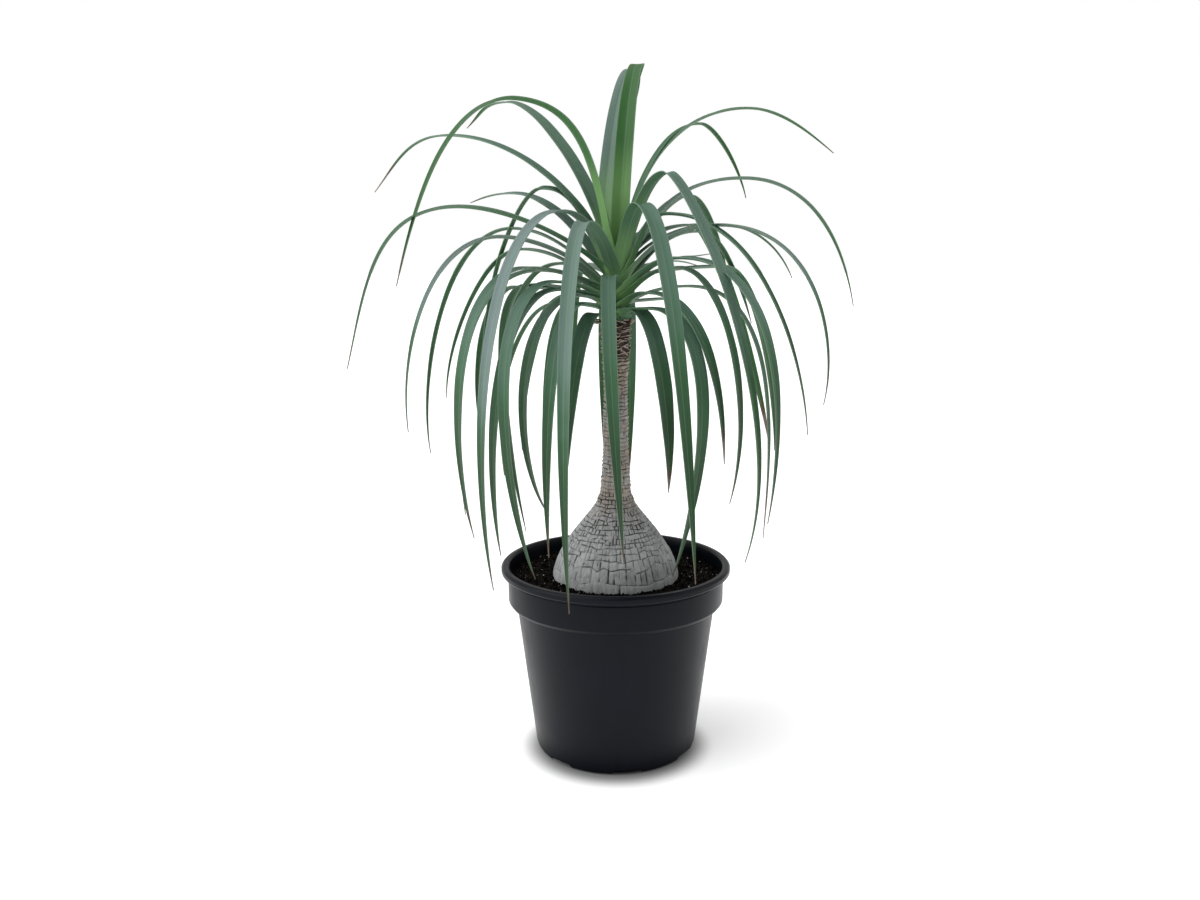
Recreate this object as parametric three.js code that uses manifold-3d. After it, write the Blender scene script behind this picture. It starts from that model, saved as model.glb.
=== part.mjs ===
// A potted ponytail palm: a nursery pot filled with soil, a swollen corky trunk, the dry stubs of
// old leaves round the top of its stem, and a fountain of long channelled leaves.
// Millimetres, +Z up. The origin is on the floor, under the middle of the pot. -Y is the front.

import * as THREE from "three";
import { mergeVertices } from "three/addons/utils/BufferGeometryUtils.js";
import Module from "manifold-3d";

// ---- Driving dimensions ------------------------------------------------------------------------

const GAP = 0.3; // between pieces that touch

const POT_HEIGHT = 233;
const POT_WALL = 2.5;
const LIP_RADIUS = 140;
const LIP_TALL = 9;
const LIP_MOUTH_RADIUS = 130.4;
const COLLAR_RADIUS = 131.6;
const COLLAR_BOTTOM = 187;
const BODY_TOP_RADIUS = 121.6;
const BODY_BOTTOM_RADIUS = 99;
const FOOT_OUTER_RADIUS = 95;
const FOOT_INNER_RADIUS = 87;
const FOOT_ROUNDING = 9;
const FLOOR_UNDERSIDE = 6;
const FLOOR_TOP = 9;
const NOTCHES = 7;
const NOTCH_FIRST_TURN = 278;
const NOTCH_INNER_RADIUS = 73;
const NOTCH_OUTER_RADIUS = 113;
const NOTCH_WIDE = 39;
const NOTCH_NARROW = 32;
const NOTCH_TALL = 6;
const DRAIN_HOLE_RADIUS = 6;
const DRAIN_HOLE_PLACE = 70;
const POT_SIDES = 48;

const SOIL_TOP = 215;
const SOIL_CRUMB = 2.2;
const SOIL_RINGS = [118, 108, 97, 87]; // radii of the rings of lumps on the soil
const SOIL_SIDES = 39;

const TRUNK_BOTTOM = 170;
const TRUNK_TOP = 486;
const CAUDEX_SIDES = 39;
const PLATE_SIDES = 3; // columns of the caudex skin in one bark plate
const PLATE_TALL_LOW = 14.5;
const PLATE_TALL_HIGH = 7.5;
const PLATES_SHRINK_FROM = 220; // from this height to the next the plates get shorter
const PLATES_SHRINK_TO = 310;
const LAST_FURROW = 326;
const FISSURE_DEPTH = 1.5;
const STEM_SIDES = 16;
const STEM_RING_PITCH = 11;
const STEM_RING_DEPTH = 0.9;

const STUB_BOTTOM = TRUNK_TOP + GAP;
const STUB_TOP = 523.7;
const STUB_CORE_RADIUS = 16.4;
const STUB_ROWS = 6;
const STUBS_IN_A_ROW = 10;

const CROWN_BOTTOM = STUB_TOP + GAP;
const CROWN_TOP = 612;
const CROWN_BOTTOM_RADIUS = 16.8;
const CROWN_TOP_RADIUS = 7;
const LEAF_WIDTH = 19;
const LEAF_THICKNESS = 1.1;
const LEAF_CHANNEL = 0.24; // depth of the channel as a share of half the width
const LEAF_TIP_WIDTH = 1.4;
const LEAF_TIP_THICKNESS = 0.7;
const LEAF_STEP_LENGTH = 46;
const LEAF_FEWEST_STEPS = 7;
const LEAF_MOST_STEPS = 10;
const LEAF_ROOT_RADIUS = 6;
const LEAF_ROOT_SHARE = 0.45; // width of the root as a share of the full width
const LEAF_FULL_FROM = 0.14; // places along a leaf, from 0 to 1: it has its full width from here
const LEAF_TAPERS_FROM = 0.32;
const LEAF_SHIFTED_FROM = 0.12; // from here on the whole of its sideways shift is reached
const UPRIGHT_ROOT_HEIGHT = 598; // a leaf rooted here leaves the stem upright, lower ones slant

// The profiles of the caudex above the soil and of the stem: height, radius.
const CAUDEX_PROFILE = [
  [216, 77],
  [220, 76.5],
  [233, 73],
  [246, 68],
  [257, 61.5],
  [271, 52.5],
  [288, 39],
  [311, 22.7],
  [330, 17.5],
  [348, 16.3],
];
const STEM_PROFILE = [
  [300, 15.4],
  [348, 16.5],
  [372, 15.2],
  [433, 14.3],
  [468, 14.4],
  [486, 16],
];
const BURIED_HEIGHTS = [176, 187, 200, 210]; // rings of the round that lies in the soil

// The leaves, each in its own upright plane through the axis of the plant. The columns are: the
// direction that it grows in, in degrees from +X; the height of its root; how straight it rises;
// how far out and how high its crest is; how widely it turns over; how long its end hangs; how far
// out and how high its tip is; the slant of the hanging end in degrees; its share of the full
// width; how far its end swings sideways; and how far its root is shifted sideways.
const LEAVES = [
  // The two young leaves that stand up and bend over at the top, towards the back.
  [63.5, 590, 0.45, 95, 826, 40, 60, 165, 730, 20, 1.1, 57, 23.5],
  [74, 595, 0.45, 92, 830, 35, 60, 160, 735, 20, 1.12, 60, -2],
  // To the left, from the highest down.
  [205, 590, 0.72, 123, 771, 78, 77, 259, 571, 15, 1, 0, 0],
  [140, 595, 0.31, 180, 790, 42, 35, 250, 764, 60, 1, 0, 0],
  [160, 585, 0.45, 222, 746, 51, 40, 322, 681, 45, 0.9, 0, 0],
  [203, 575, 0.32, 185, 656, 95, 85, 313, 484, 15, 1, 0, 0],
  [150, 570, 0.4, 150, 678, 25, 20, 210, 668, 75, 0.95, 0, 0],
  [165, 575, 0.55, 90, 681, 28, 150, 168, 408, -4, 1, 0, 0],
  [232, 570, 0.55, 98, 651, 100, 200, 213, 251, -12, 0.82, 0, 0],
  [205, 560, 0.35, 142, 624, 78, 95, 252, 412, -5, 1, 0, 0],
  [165, 560, 0.35, 126, 635, 93, 85, 243, 356, -10, 0.8, 0, 0],
  [165, 555, 0.35, 115, 611, 50, 65, 219, 428, 0, 0.85, 0, 0],
  [216, 555, 0.35, 120, 590, 85, 140, 195, 294, -15, 1, 0, 0],
  [208, 550, 0.35, 95, 587, 115, 90, 193, 315, -5, 0.95, 0, 0],
  [160, 555, 0.4, 68, 594, 75, 115, 150, 330, -5, 1, 0, 0],
  [218, 545, 0.35, 80, 566, 90, 115, 165, 270, -10, 1, 0, 0],
  [214, 540, 0.35, 50, 558, 88, 90, 94, 304, -35, 0.95, 0, 0],
  [165, 538, 0.35, 70, 548, 45, 60, 150, 400, 5, 0.8, 0, 0],
  [150, 545, 0.35, 120, 568, 68, 136, 134, 253, -14, 1, 0, 0],
  [226, 545, 0.35, 95, 575, 118, 100, 132, 240, -25, 0.95, 0, 0],
  [240, 540, 0.35, 80, 550, 69, 99, 148, 276, -5, 0.8, 0, 0],
  // To the front, in front of the trunk and on either side of it.
  [254.5, 575, 0.25, 132, 638, 60, 220, 195, 232, -10, 0.82, 0, 3],
  [235, 530, 0.35, 42, 537, 35, 60, 100, 340, 0, 1.1, 0, 0],
  [266, 560, 0.5, 105, 582, 60, 120, 160, 280, -5, 0.8, 20, 0],
  // To the right, from the highest down.
  [15, 592, 0.6, 163, 773, 41, 37, 273, 725, 55, 0.85, 0, 0],
  [25, 590, 0.5, 110, 756, 22, 35, 176, 672, 15, 0.75, 0, 0],
  [315, 580, 0.4, 80, 693, 28, 190, 200, 274, -20, 0.95, 0, 0],
  [292, 575, 0.3, 71, 659, 72, 190, 221, 270, 8, 0.96, 0, 0],
  [17, 575, 0.6, 160, 694, 105, 55, 314, 540, 12, 0.9, 0, 0],
  [344, 568, 0.5, 123, 637, 109, 72, 245, 437, -12, 0.95, 0, 0],
  [338, 568, 0.6, 64, 650, 100, 106, 232, 406, 5, 1, 0, 0],
  [30, 560, 0.45, 115, 632, 40, 35, 200, 518, 20, 0.8, 0, 0],
  [320, 555, 0.4, 95, 601, 137, 111, 216, 317, -10, 1, 0, 0],
  [330, 550, 0.4, 80, 590, 62, 120, 151, 324, -15, 0.95, 0, 0],
  [340, 545, 0.4, 90, 569, 115, 80, 183, 280, -3, 0.9, 0, 0],
  [310, 540, 0.4, 58, 562, 75, 113, 182, 383, 3, 0.95, 0, 0],
  [312, 530, 0.4, 32, 542, 46, 60, 91, 335, -5, 1.25, 0, 0],
  [305, 535, 0.4, 70, 545, 135, 125, 114, 243, -25, 0.95, 0, 0],
  // Thin ends that show between the others.
  [55, 572, 0.2, 170, 602, 20, 12, 224, 605, 90, 0.5, 0, 0],
  [60, 580, 0.3, 150, 596, 30, 10, 228, 588, 80, 0.5, 0, 0],
  [20, 575, 0.5, 130, 640, 60, 30, 234, 575, 25, 0.6, 0, 0],
  // At the back, behind the others.
  [50, 575, 0.25, 142, 676, 35, 60, 240, 540, 10, 0.85, 0, 0],
  [107, 575, 0.4, 155, 592, 50, 120, 222, 340, 0, 1, 0, 0],
  [80, 535, 0.4, 80, 555, 25, 100, 105, 326, -3, 0.9, 0, 0],
  [65, 578, 0.5, 108, 632, 48, 100, 230, 370, 8, 0.95, 0, 0],
  [40, 580, 0.5, 125, 640, 40, 90, 278, 339, 12, 0.95, 0, 0],
  [30, 570, 0.45, 150, 590, 60, 80, 243, 349, 0, 0.95, 0, 0],
  [140, 548, 0.35, 70, 556, 60, 80, 160, 353, 0, 0.95, 0, 0],
  [150, 555, 0.35, 140, 565, 55, 80, 199, 364, -15, 0.9, 0, 0],
  [125, 540, 0.35, 85, 545, 70, 100, 164, 279, 0, 0.9, 0, 0],
  [52, 548, 0.35, 100, 550, 50, 80, 199, 357, 4, 0.9, 0, 0],
  [90, 568, 0.45, 120, 600, 60, 120, 190, 300, 0, 1, 0, 0],
  [96, 545, 0.35, 85, 552, 50, 100, 142, 330, 0, 1, 0, 0],
  [85, 572, 0.5, 130, 640, 75, 120, 212, 310, 0, 1, 0, 0],
];

// ---- Materials ---------------------------------------------------------------------------------

const MATERIALS = {
  pot: new THREE.MeshStandardMaterial({ color: 0x26282e, roughness: 0.45, metalness: 0 }),
  soil: new THREE.MeshStandardMaterial({ color: 0x1d1713, roughness: 0.95, metalness: 0 }),
  bark: new THREE.MeshStandardMaterial({ color: 0x8b8680, roughness: 0.85, metalness: 0 }),
  stubs: new THREE.MeshStandardMaterial({ color: 0x4a3828, roughness: 0.9, metalness: 0 }),
  leaf: new THREE.MeshStandardMaterial({ color: 0x5f8a6a, roughness: 0.45, metalness: 0 }),
};

// ---- Small tools -------------------------------------------------------------------------------

const manifold = await Module();
manifold.setup();

const { clamp, degToRad, lerp } = THREE.MathUtils;

/** A seeded draw of numbers from 0 to 1. */
function draws(seed) {
  let state = seed;
  return () => {
    state = (state * 1664525 + 1013904223) % 4294967296;
    return state / 4294967296;
  };
}

/** The value at one place of a list of [place, value] pairs, joined by straight lines. */
function valueAt(pairs, place) {
  const next = pairs.findIndex(([at]) => at >= place);
  if (next === -1) return pairs[pairs.length - 1][1];
  if (next === 0) return pairs[0][1];
  const [fromPlace, fromValue] = pairs[next - 1];
  const [toPlace, toValue] = pairs[next];
  return lerp(fromValue, toValue, (place - fromPlace) / (toPlace - fromPlace));
}

/** A closed geometry as a solid, without the empty triangles at a lathe's poles. */
function solidOf(geometry) {
  const bare = geometry.clone();
  bare.deleteAttribute("normal");
  bare.deleteAttribute("uv");
  const merged = mergeVertices(bare, 1e-4);
  const corners = [];
  for (let i = 0; i < merged.index.count; i += 3) {
    const [a, b, c] = [0, 1, 2].map((k) => merged.index.getX(i + k));
    if (a !== b && b !== c && c !== a) corners.push(a, b, c);
  }
  return new manifold.Manifold(
    new manifold.Mesh({
      numProp: 3,
      vertProperties: merged.attributes.position.array,
      triVerts: new Uint32Array(corners),
    }),
  );
}

/** The largest shell of a solid: a hollow sealed by fusing is filled and a loose scrap dropped. */
function geometryOf(solid) {
  const { vertProperties, triVerts } = solid.getMesh();
  const leader = Uint32Array.from({ length: vertProperties.length / 3 }, (_, i) => i);
  const leaderOf = (i) => {
    let at = i;
    while (leader[at] !== at) at = leader[at];
    return at;
  };
  for (let i = 0; i < triVerts.length; i += 3) {
    const [a, b, c] = [0, 1, 2].map((k) => leaderOf(triVerts[i + k]));
    leader[b] = a;
    leader[leaderOf(c)] = a;
  }
  const shells = new Map();
  for (let i = 0; i < triVerts.length; i += 3) {
    const shell = leaderOf(triVerts[i]);
    if (!shells.has(shell)) shells.set(shell, []);
    shells.get(shell).push(triVerts[i], triVerts[i + 1], triVerts[i + 2]);
  }
  const largest = [...shells.values()].sort((a, b) => b.length - a.length)[0];
  const geometry = new THREE.BufferGeometry();
  geometry.setAttribute("position", new THREE.Float32BufferAttribute(vertProperties, 3));
  geometry.setIndex(largest);
  const flat = geometry.toNonIndexed();
  flat.computeVertexNormals();
  return flat;
}

/** A solid of revolution about Z from a profile of [radius, height], with its skin moved if asked. */
function turned(profile, sides, move = null) {
  const points = profile.map(([radius, height]) => new THREE.Vector2(radius, height));
  const geometry = new THREE.LatheGeometry(points, sides).rotateX(Math.PI / 2);
  if (move) {
    const place = geometry.attributes.position;
    for (let i = 0; i < place.count; i += 1) {
      const row = i % profile.length;
      const column = Math.floor(i / profile.length) % sides;
      const spot = new THREE.Vector3().fromBufferAttribute(place, i);
      move(spot, row, column);
      place.setXYZ(i, spot.x, spot.y, spot.z);
    }
  }
  return solidOf(geometry);
}

/**
 * A closed blade from equal rings of points. The first half of a ring crosses the upper face and
 * the second half comes back under it, and both faces are split into triangles alike.
 */
function blade(rings) {
  const size = rings[0].length;
  const half = size / 2;
  const index = [];
  for (let ring = 0; ring + 1 < rings.length; ring += 1) {
    for (let side = 0; side < size; side += 1) {
      const a = ring * size + side;
      const b = ring * size + ((side + 1) % size);
      const c = a + size;
      const d = b + size;
      if (side < half) index.push(a, b, d, a, d, c);
      else index.push(a, b, c, b, d, c);
    }
  }
  const last = (rings.length - 1) * size;
  for (let side = 0; side + 1 < half; side += 1) {
    const [a, b, c, d] = [side, side + 1, size - 2 - side, size - 1 - side];
    index.push(a, c, b, a, d, c);
    index.push(last + a, last + b, last + c, last + a, last + c, last + d);
  }
  const geometry = new THREE.BufferGeometry();
  const places = rings.flat().flatMap((point) => point.toArray());
  geometry.setAttribute("position", new THREE.Float32BufferAttribute(places, 3));
  geometry.setIndex(index);
  return solidOf(geometry);
}

/** Solids joined into one. */
function fused(solids) {
  return solids.reduce((whole, solid) => whole.add(solid));
}

function pieceOf(name, solid, material) {
  const mesh = new THREE.Mesh(geometryOf(solid), material);
  mesh.name = name;
  return mesh;
}

// ---- Pot ---------------------------------------------------------------------------------------

/** The radius of the pot's outer wall below the collar. */
function bodyRadius(height) {
  return lerp(BODY_BOTTOM_RADIUS, BODY_TOP_RADIUS, height / (COLLAR_BOTTOM - 3));
}

/** The radius of the pot's inner wall. */
function innerRadius(height) {
  if (height >= COLLAR_BOTTOM + 4) return COLLAR_RADIUS - POT_WALL;
  return bodyRadius(Math.min(height, COLLAR_BOTTOM - 3)) - POT_WALL;
}

/** One drain notch across the foot, along +X. */
function drainNotch() {
  const outline = new THREE.Shape([
    new THREE.Vector2(-NOTCH_WIDE / 2, -1),
    new THREE.Vector2(NOTCH_WIDE / 2, -1),
    new THREE.Vector2(NOTCH_NARROW / 2, NOTCH_TALL),
    new THREE.Vector2(-NOTCH_NARROW / 2, NOTCH_TALL),
  ]);
  const depth = NOTCH_OUTER_RADIUS - NOTCH_INNER_RADIUS;
  const geometry = new THREE.ExtrudeGeometry(outline, { depth, bevelEnabled: false });
  geometry.rotateX(Math.PI / 2).rotateZ(Math.PI / 2).translate(NOTCH_INNER_RADIUS, 0, 0);
  return solidOf(geometry);
}

function makePot() {
  const lipBottom = POT_HEIGHT - LIP_TALL;
  const round = [0.25, 0.5, 0.75].map((share) => {
    const angle = (share * Math.PI) / 2;
    return [
      FOOT_OUTER_RADIUS + (bodyRadius(FOOT_ROUNDING) - FOOT_OUTER_RADIUS) * Math.sin(angle),
      FOOT_ROUNDING * (1 - Math.cos(angle)),
    ];
  });
  const profile = [
    [0, FLOOR_UNDERSIDE],
    [FOOT_INNER_RADIUS, FLOOR_UNDERSIDE],
    [FOOT_INNER_RADIUS + 1, 0],
    [FOOT_OUTER_RADIUS, 0],
    ...round,
    [bodyRadius(FOOT_ROUNDING), FOOT_ROUNDING],
    [BODY_TOP_RADIUS, COLLAR_BOTTOM - 3],
    [COLLAR_RADIUS - 3, COLLAR_BOTTOM - 1],
    [COLLAR_RADIUS, COLLAR_BOTTOM + 3],
    [COLLAR_RADIUS + 0.6, lipBottom],
    [LIP_RADIUS - 1.5, lipBottom - 0.5],
    [LIP_RADIUS, lipBottom + 1.5],
    [LIP_RADIUS, POT_HEIGHT - 2.5],
    [LIP_RADIUS - 2.5, POT_HEIGHT],
    [LIP_MOUTH_RADIUS + 2, POT_HEIGHT],
    [LIP_MOUTH_RADIUS, POT_HEIGHT - 2],
    [innerRadius(lipBottom), lipBottom - 2],
    [innerRadius(COLLAR_BOTTOM + 4), COLLAR_BOTTOM + 4],
    [innerRadius(COLLAR_BOTTOM - 3), COLLAR_BOTTOM - 3],
    [innerRadius(FLOOR_TOP + 4), FLOOR_TOP + 4],
    [innerRadius(FLOOR_TOP + 4) - 4, FLOOR_TOP],
    [0, FLOOR_TOP],
  ];
  let pot = turned(profile, POT_SIDES);
  const notch = drainNotch();
  const hole = turned(
    [
      [0, 0],
      [DRAIN_HOLE_RADIUS, 0],
      [DRAIN_HOLE_RADIUS, 2 * FLOOR_TOP],
      [0, 2 * FLOOR_TOP],
    ],
    12,
  ).translate([DRAIN_HOLE_PLACE, 0, 0]);
  for (let i = 0; i < NOTCHES; i += 1) {
    const turn = NOTCH_FIRST_TURN + (360 / NOTCHES) * i;
    pot = pot.subtract(notch.rotate([0, 0, turn]));
    pot = pot.subtract(hole.rotate([0, 0, turn]));
  }
  return pieceOf("pot", pot, MATERIALS.pot);
}

// ---- Soil --------------------------------------------------------------------------------------

/** The radius of the buried round of the caudex at a height below the soil's top. */
function buriedRadius(height) {
  const widest = CAUDEX_PROFILE[0][1];
  const depth = (CAUDEX_PROFILE[0][0] - height) / (CAUDEX_PROFILE[0][0] - TRUNK_BOTTOM);
  return widest * Math.sqrt(Math.max(0, 1 - depth * depth));
}

/** The soil, with a crumbly top and a plain bowl that the trunk stands in. */
function makeSoil() {
  const draw = draws(7);
  const outer = (height) => innerRadius(height) - GAP - 0.4;
  const inner = CAUDEX_PROFILE[0][1] + GAP;
  const topRadii = [outer(SOIL_TOP) - 1.5, ...SOIL_RINGS, inner + 1];
  const top = topRadii.map((radius) => [radius, SOIL_TOP]);
  const bowl = BURIED_HEIGHTS.toReversed().map((height) => [
    buriedRadius(height) + GAP,
    height - GAP,
  ]);
  const profile = [
    [0, FLOOR_TOP + GAP],
    [outer(FLOOR_TOP + 4) - 4, FLOOR_TOP + GAP],
    [outer(FLOOR_TOP + 4), FLOOR_TOP + 4 + GAP],
    [outer(COLLAR_BOTTOM - 3), COLLAR_BOTTOM - 3],
    [outer(COLLAR_BOTTOM + 4), COLLAR_BOTTOM + 5],
    [outer(SOIL_TOP), SOIL_TOP - 4],
    ...top,
    ...bowl,
    [0, TRUNK_BOTTOM - GAP],
  ];
  const firstTop = profile.indexOf(top[0]);
  const lastTop = firstTop + top.length - 1;
  const crumbs = Array.from({ length: profile.length * SOIL_SIDES }, () => draw() - 0.5);
  const soil = turned(profile, SOIL_SIDES, (spot, row, column) => {
    if (row < firstTop || row > lastTop) return;
    const shift = crumbs[row * SOIL_SIDES + column];
    const edge = row === firstTop || row === lastTop ? 0.4 : 1;
    spot.z += 2 * SOIL_CRUMB * shift * edge;
  });
  return pieceOf("soil", soil, MATERIALS.soil);
}

// ---- Trunk -------------------------------------------------------------------------------------

/** The heights of the furrows between the rows of bark plates, closer together higher up. */
function plateRows() {
  const heights = [CAUDEX_PROFILE[0][0] + 4];
  while (heights[heights.length - 1] < LAST_FURROW) {
    const last = heights[heights.length - 1];
    const share = (last - PLATES_SHRINK_FROM) / (PLATES_SHRINK_TO - PLATES_SHRINK_FROM);
    heights.push(last + lerp(PLATE_TALL_LOW, PLATE_TALL_HIGH, clamp(share, 0, 1)));
  }
  return heights;
}

/** The swollen base: rows of corky plates, parted by furrows and staggered upright cracks. */
function makeCaudex() {
  const draw = draws(11);
  const rows = plateRows();
  const profile = [[0, TRUNK_BOTTOM]];
  BURIED_HEIGHTS.forEach((height) => profile.push([buriedRadius(height), height]));
  const firstPlate = profile.length + 1;
  profile.push([CAUDEX_PROFILE[0][1], CAUDEX_PROFILE[0][0]]);
  for (let i = 0; i + 1 < rows.length; i += 1) {
    const middle = (rows[i] + rows[i + 1]) / 2;
    profile.push([valueAt(CAUDEX_PROFILE, rows[i]) - FISSURE_DEPTH, rows[i]]);
    profile.push([valueAt(CAUDEX_PROFILE, middle) + 0.3, middle]);
  }
  profile.push([STEM_PROFILE[0][1] - 2, rows[rows.length - 1] + 6]);
  profile.push([0, rows[rows.length - 1] + 10]);
  const wobble = Array.from({ length: profile.length * CAUDEX_SIDES }, () => draw() - 0.5);
  const stagger = rows.map(() => Math.floor(draw() * PLATE_SIDES));
  return turned(profile, CAUDEX_SIDES, (spot, row, column) => {
    if (row < firstPlate || row >= profile.length - 2) return;
    const plateRow = Math.floor((row - firstPlate) / 2);
    const isPlate = (row - firstPlate) % 2 === 1;
    const isCrack = (column + stagger[plateRow]) % PLATE_SIDES === 0;
    const radius = Math.hypot(spot.x, spot.y);
    const share = Math.min(1, radius / 50);
    const shift = isPlate && isCrack ? -FISSURE_DEPTH * share : 0;
    const factor = (radius + shift + 0.5 * share * wobble[row * CAUDEX_SIDES + column]) / radius;
    spot.x *= factor;
    spot.y *= factor;
  });
}

/** The thin stem, with the rings that fallen leaves left. */
function makeStem() {
  const profile = [[0, STEM_PROFILE[0][0]]];
  const bottom = STEM_PROFILE[0][0];
  const rings = Math.floor((TRUNK_TOP - bottom) / STEM_RING_PITCH);
  const pitch = (TRUNK_TOP - bottom) / rings;
  for (let i = 0; i < rings; i += 1) {
    const low = bottom + i * pitch;
    profile.push([valueAt(STEM_PROFILE, low) - STEM_RING_DEPTH, low]);
    profile.push([valueAt(STEM_PROFILE, low) + STEM_RING_DEPTH / 2, low + 0.35 * pitch]);
  }
  profile.push([valueAt(STEM_PROFILE, TRUNK_TOP) - 1, TRUNK_TOP]);
  profile.push([0, TRUNK_TOP]);
  return turned(profile, STEM_SIDES);
}

function makeTrunk() {
  return pieceOf("trunk", makeCaudex().add(makeStem()), MATERIALS.bark);
}

// ---- Dry leaf bases ----------------------------------------------------------------------------

/** One ragged stub: a blunt wedge from inside the core outwards, along +X. */
function stub(width, thickness, reach, drop) {
  const ring = (out, up, share) => {
    const wide = (share * width) / 2;
    const thick = (share * thickness) / 2;
    return [
      new THREE.Vector3(out, wide, up + thick),
      new THREE.Vector3(out, -wide, up + thick),
      new THREE.Vector3(out, -wide, up - thick),
      new THREE.Vector3(out, wide, up - thick),
    ];
  };
  const inside = STUB_CORE_RADIUS - 5;
  return blade([ring(inside, 0, 1), ring(STUB_CORE_RADIUS + reach, drop, 0.35)]);
}

function makeDryLeafBases() {
  const draw = draws(23);
  const core = turned(
    [
      [0, STUB_BOTTOM],
      [STUB_CORE_RADIUS - 0.6, STUB_BOTTOM],
      [STUB_CORE_RADIUS, STUB_BOTTOM + 3],
      [STUB_CORE_RADIUS, STUB_TOP - 3],
      [STUB_CORE_RADIUS - 0.6, STUB_TOP],
      [0, STUB_TOP],
    ],
    STEM_SIDES,
  );
  const pitch = (STUB_TOP - STUB_BOTTOM - 8) / (STUB_ROWS - 1);
  const stubs = [];
  for (let row = 0; row < STUB_ROWS; row += 1) {
    for (let i = 0; i < STUBS_IN_A_ROW; i += 1) {
      const turn = (360 / STUBS_IN_A_ROW) * (i + 0.5 * (row % 2) + 0.2 * (draw() - 0.5));
      const made = stub(lerp(6.5, 8.5, draw()), 2.4, lerp(1.6, 4.2, draw()), lerp(-1, 0.6, draw()));
      const up = STUB_BOTTOM + 4 + row * pitch + 0.5 * (draw() - 0.5);
      stubs.push(made.rotate([0, 0, turn]).translate([0, 0, up]));
    }
  }
  return pieceOf("dry_leaf_bases", fused([core, ...stubs]), MATERIALS.stubs);
}

// ---- Leaf crown --------------------------------------------------------------------------------

/** The middle line of a leaf in its own upright plane, from its root over its crest to its tip. */
function middleLine(row) {
  const [, rootUp, bow, crestOut, crestUp, over, hang, tipOut, tipUp, leanDegrees] = row;
  const start = degToRad(clamp(UPRIGHT_ROOT_HEIGHT - rootUp, 5, 55));
  const lean = degToRad(leanDegrees);
  const climb = (bow * (crestUp - rootUp)) / Math.cos(start);
  const level = 0.25 + 0.5 * bow;
  const path = new THREE.CurvePath();
  path.add(
    new THREE.CubicBezierCurve(
      new THREE.Vector2(LEAF_ROOT_RADIUS, rootUp),
      new THREE.Vector2(LEAF_ROOT_RADIUS + climb * Math.sin(start), rootUp + climb * Math.cos(start)),
      new THREE.Vector2(crestOut - level * (crestOut - LEAF_ROOT_RADIUS), crestUp),
      new THREE.Vector2(crestOut, crestUp),
    ),
  );
  path.add(
    new THREE.CubicBezierCurve(
      new THREE.Vector2(crestOut, crestUp),
      new THREE.Vector2(crestOut + over, crestUp),
      new THREE.Vector2(tipOut - hang * Math.sin(lean), tipUp + hang * Math.cos(lean)),
      new THREE.Vector2(tipOut, tipUp),
    ),
  );
  return path;
}

/** The places along a middle line, from 0 to 1, that part it into steps of like length and bend. */
function evenSteps(path, steps) {
  const samples = 96;
  const longStep = 70; // this length, or this bend in radians, asks for one step
  const bentStep = 0.45;
  const effort = [0];
  let before = path.getTangentAt(0);
  for (let i = 1; i <= samples; i += 1) {
    const now = path.getTangentAt(i / samples);
    const bend = Math.acos(clamp(now.dot(before), -1, 1));
    effort.push(effort[i - 1] + path.getLength() / samples / longStep + bend / bentStep);
    before = now;
  }
  const places = effort.map((value, i) => [value / effort[samples], i / samples]);
  return Array.from({ length: steps + 1 }, (_, i) => valueAt(places, i / steps));
}

/** Half the width of a leaf at a place from 0, its root, to 1, its tip. */
function halfWidth(place, share) {
  const taper = clamp((place - LEAF_TAPERS_FROM) / (1 - LEAF_TAPERS_FROM), 0, 1);
  const root = lerp(LEAF_ROOT_SHARE, 1, clamp(place / LEAF_FULL_FROM, 0, 1));
  return Math.max((share * LEAF_WIDTH * root * (1 - taper * taper)) / 2, LEAF_TIP_WIDTH / 2);
}

/** One leaf: a thin channelled blade that rises, bends over and hangs. */
function leaf(row) {
  const [turn] = row;
  const [share, sway, shift] = row.slice(-3);
  const path = middleLine(row);
  const crestPlace = path.getCurveLengths()[0] / path.getLength();
  const azimuth = degToRad(turn);
  const outward = new THREE.Vector3(Math.cos(azimuth), Math.sin(azimuth), 0);
  const sideward = new THREE.Vector3(-Math.sin(azimuth), Math.cos(azimuth), 0);
  const upward = new THREE.Vector3(0, 0, 1);
  const wanted = Math.round(path.getLength() / LEAF_STEP_LENGTH);
  const steps = clamp(wanted, LEAF_FEWEST_STEPS, LEAF_MOST_STEPS);
  const rings = evenSteps(path, steps).map((place) => {
    const spot = path.getPointAt(place);
    const tangent = path.getTangentAt(place);
    const swung = clamp((place - crestPlace) / (1 - crestPlace), 0, 1);
    const aside = sway * swung ** 1.2 + shift * clamp(place / LEAF_SHIFTED_FROM, 0, 1);
    const middle = outward.clone().multiplyScalar(spot.x);
    middle.addScaledVector(upward, spot.y).addScaledVector(sideward, aside);
    const face = outward.clone().multiplyScalar(-tangent.y).addScaledVector(upward, tangent.x);
    const half = halfWidth(place, share);
    const depth = LEAF_CHANNEL * half;
    const thin = place > 0.98 ? LEAF_TIP_THICKNESS : LEAF_THICKNESS;
    const point = (across, lift) =>
      middle.clone().addScaledVector(sideward, across).addScaledVector(face, lift);
    return [
      point(half, depth / 2),
      point(0, -depth / 2),
      point(-half, depth / 2),
      point(-half, depth / 2 - thin),
      point(0, -depth / 2 - thin),
      point(half, depth / 2 - thin),
    ];
  });
  return blade(rings);
}

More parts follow.
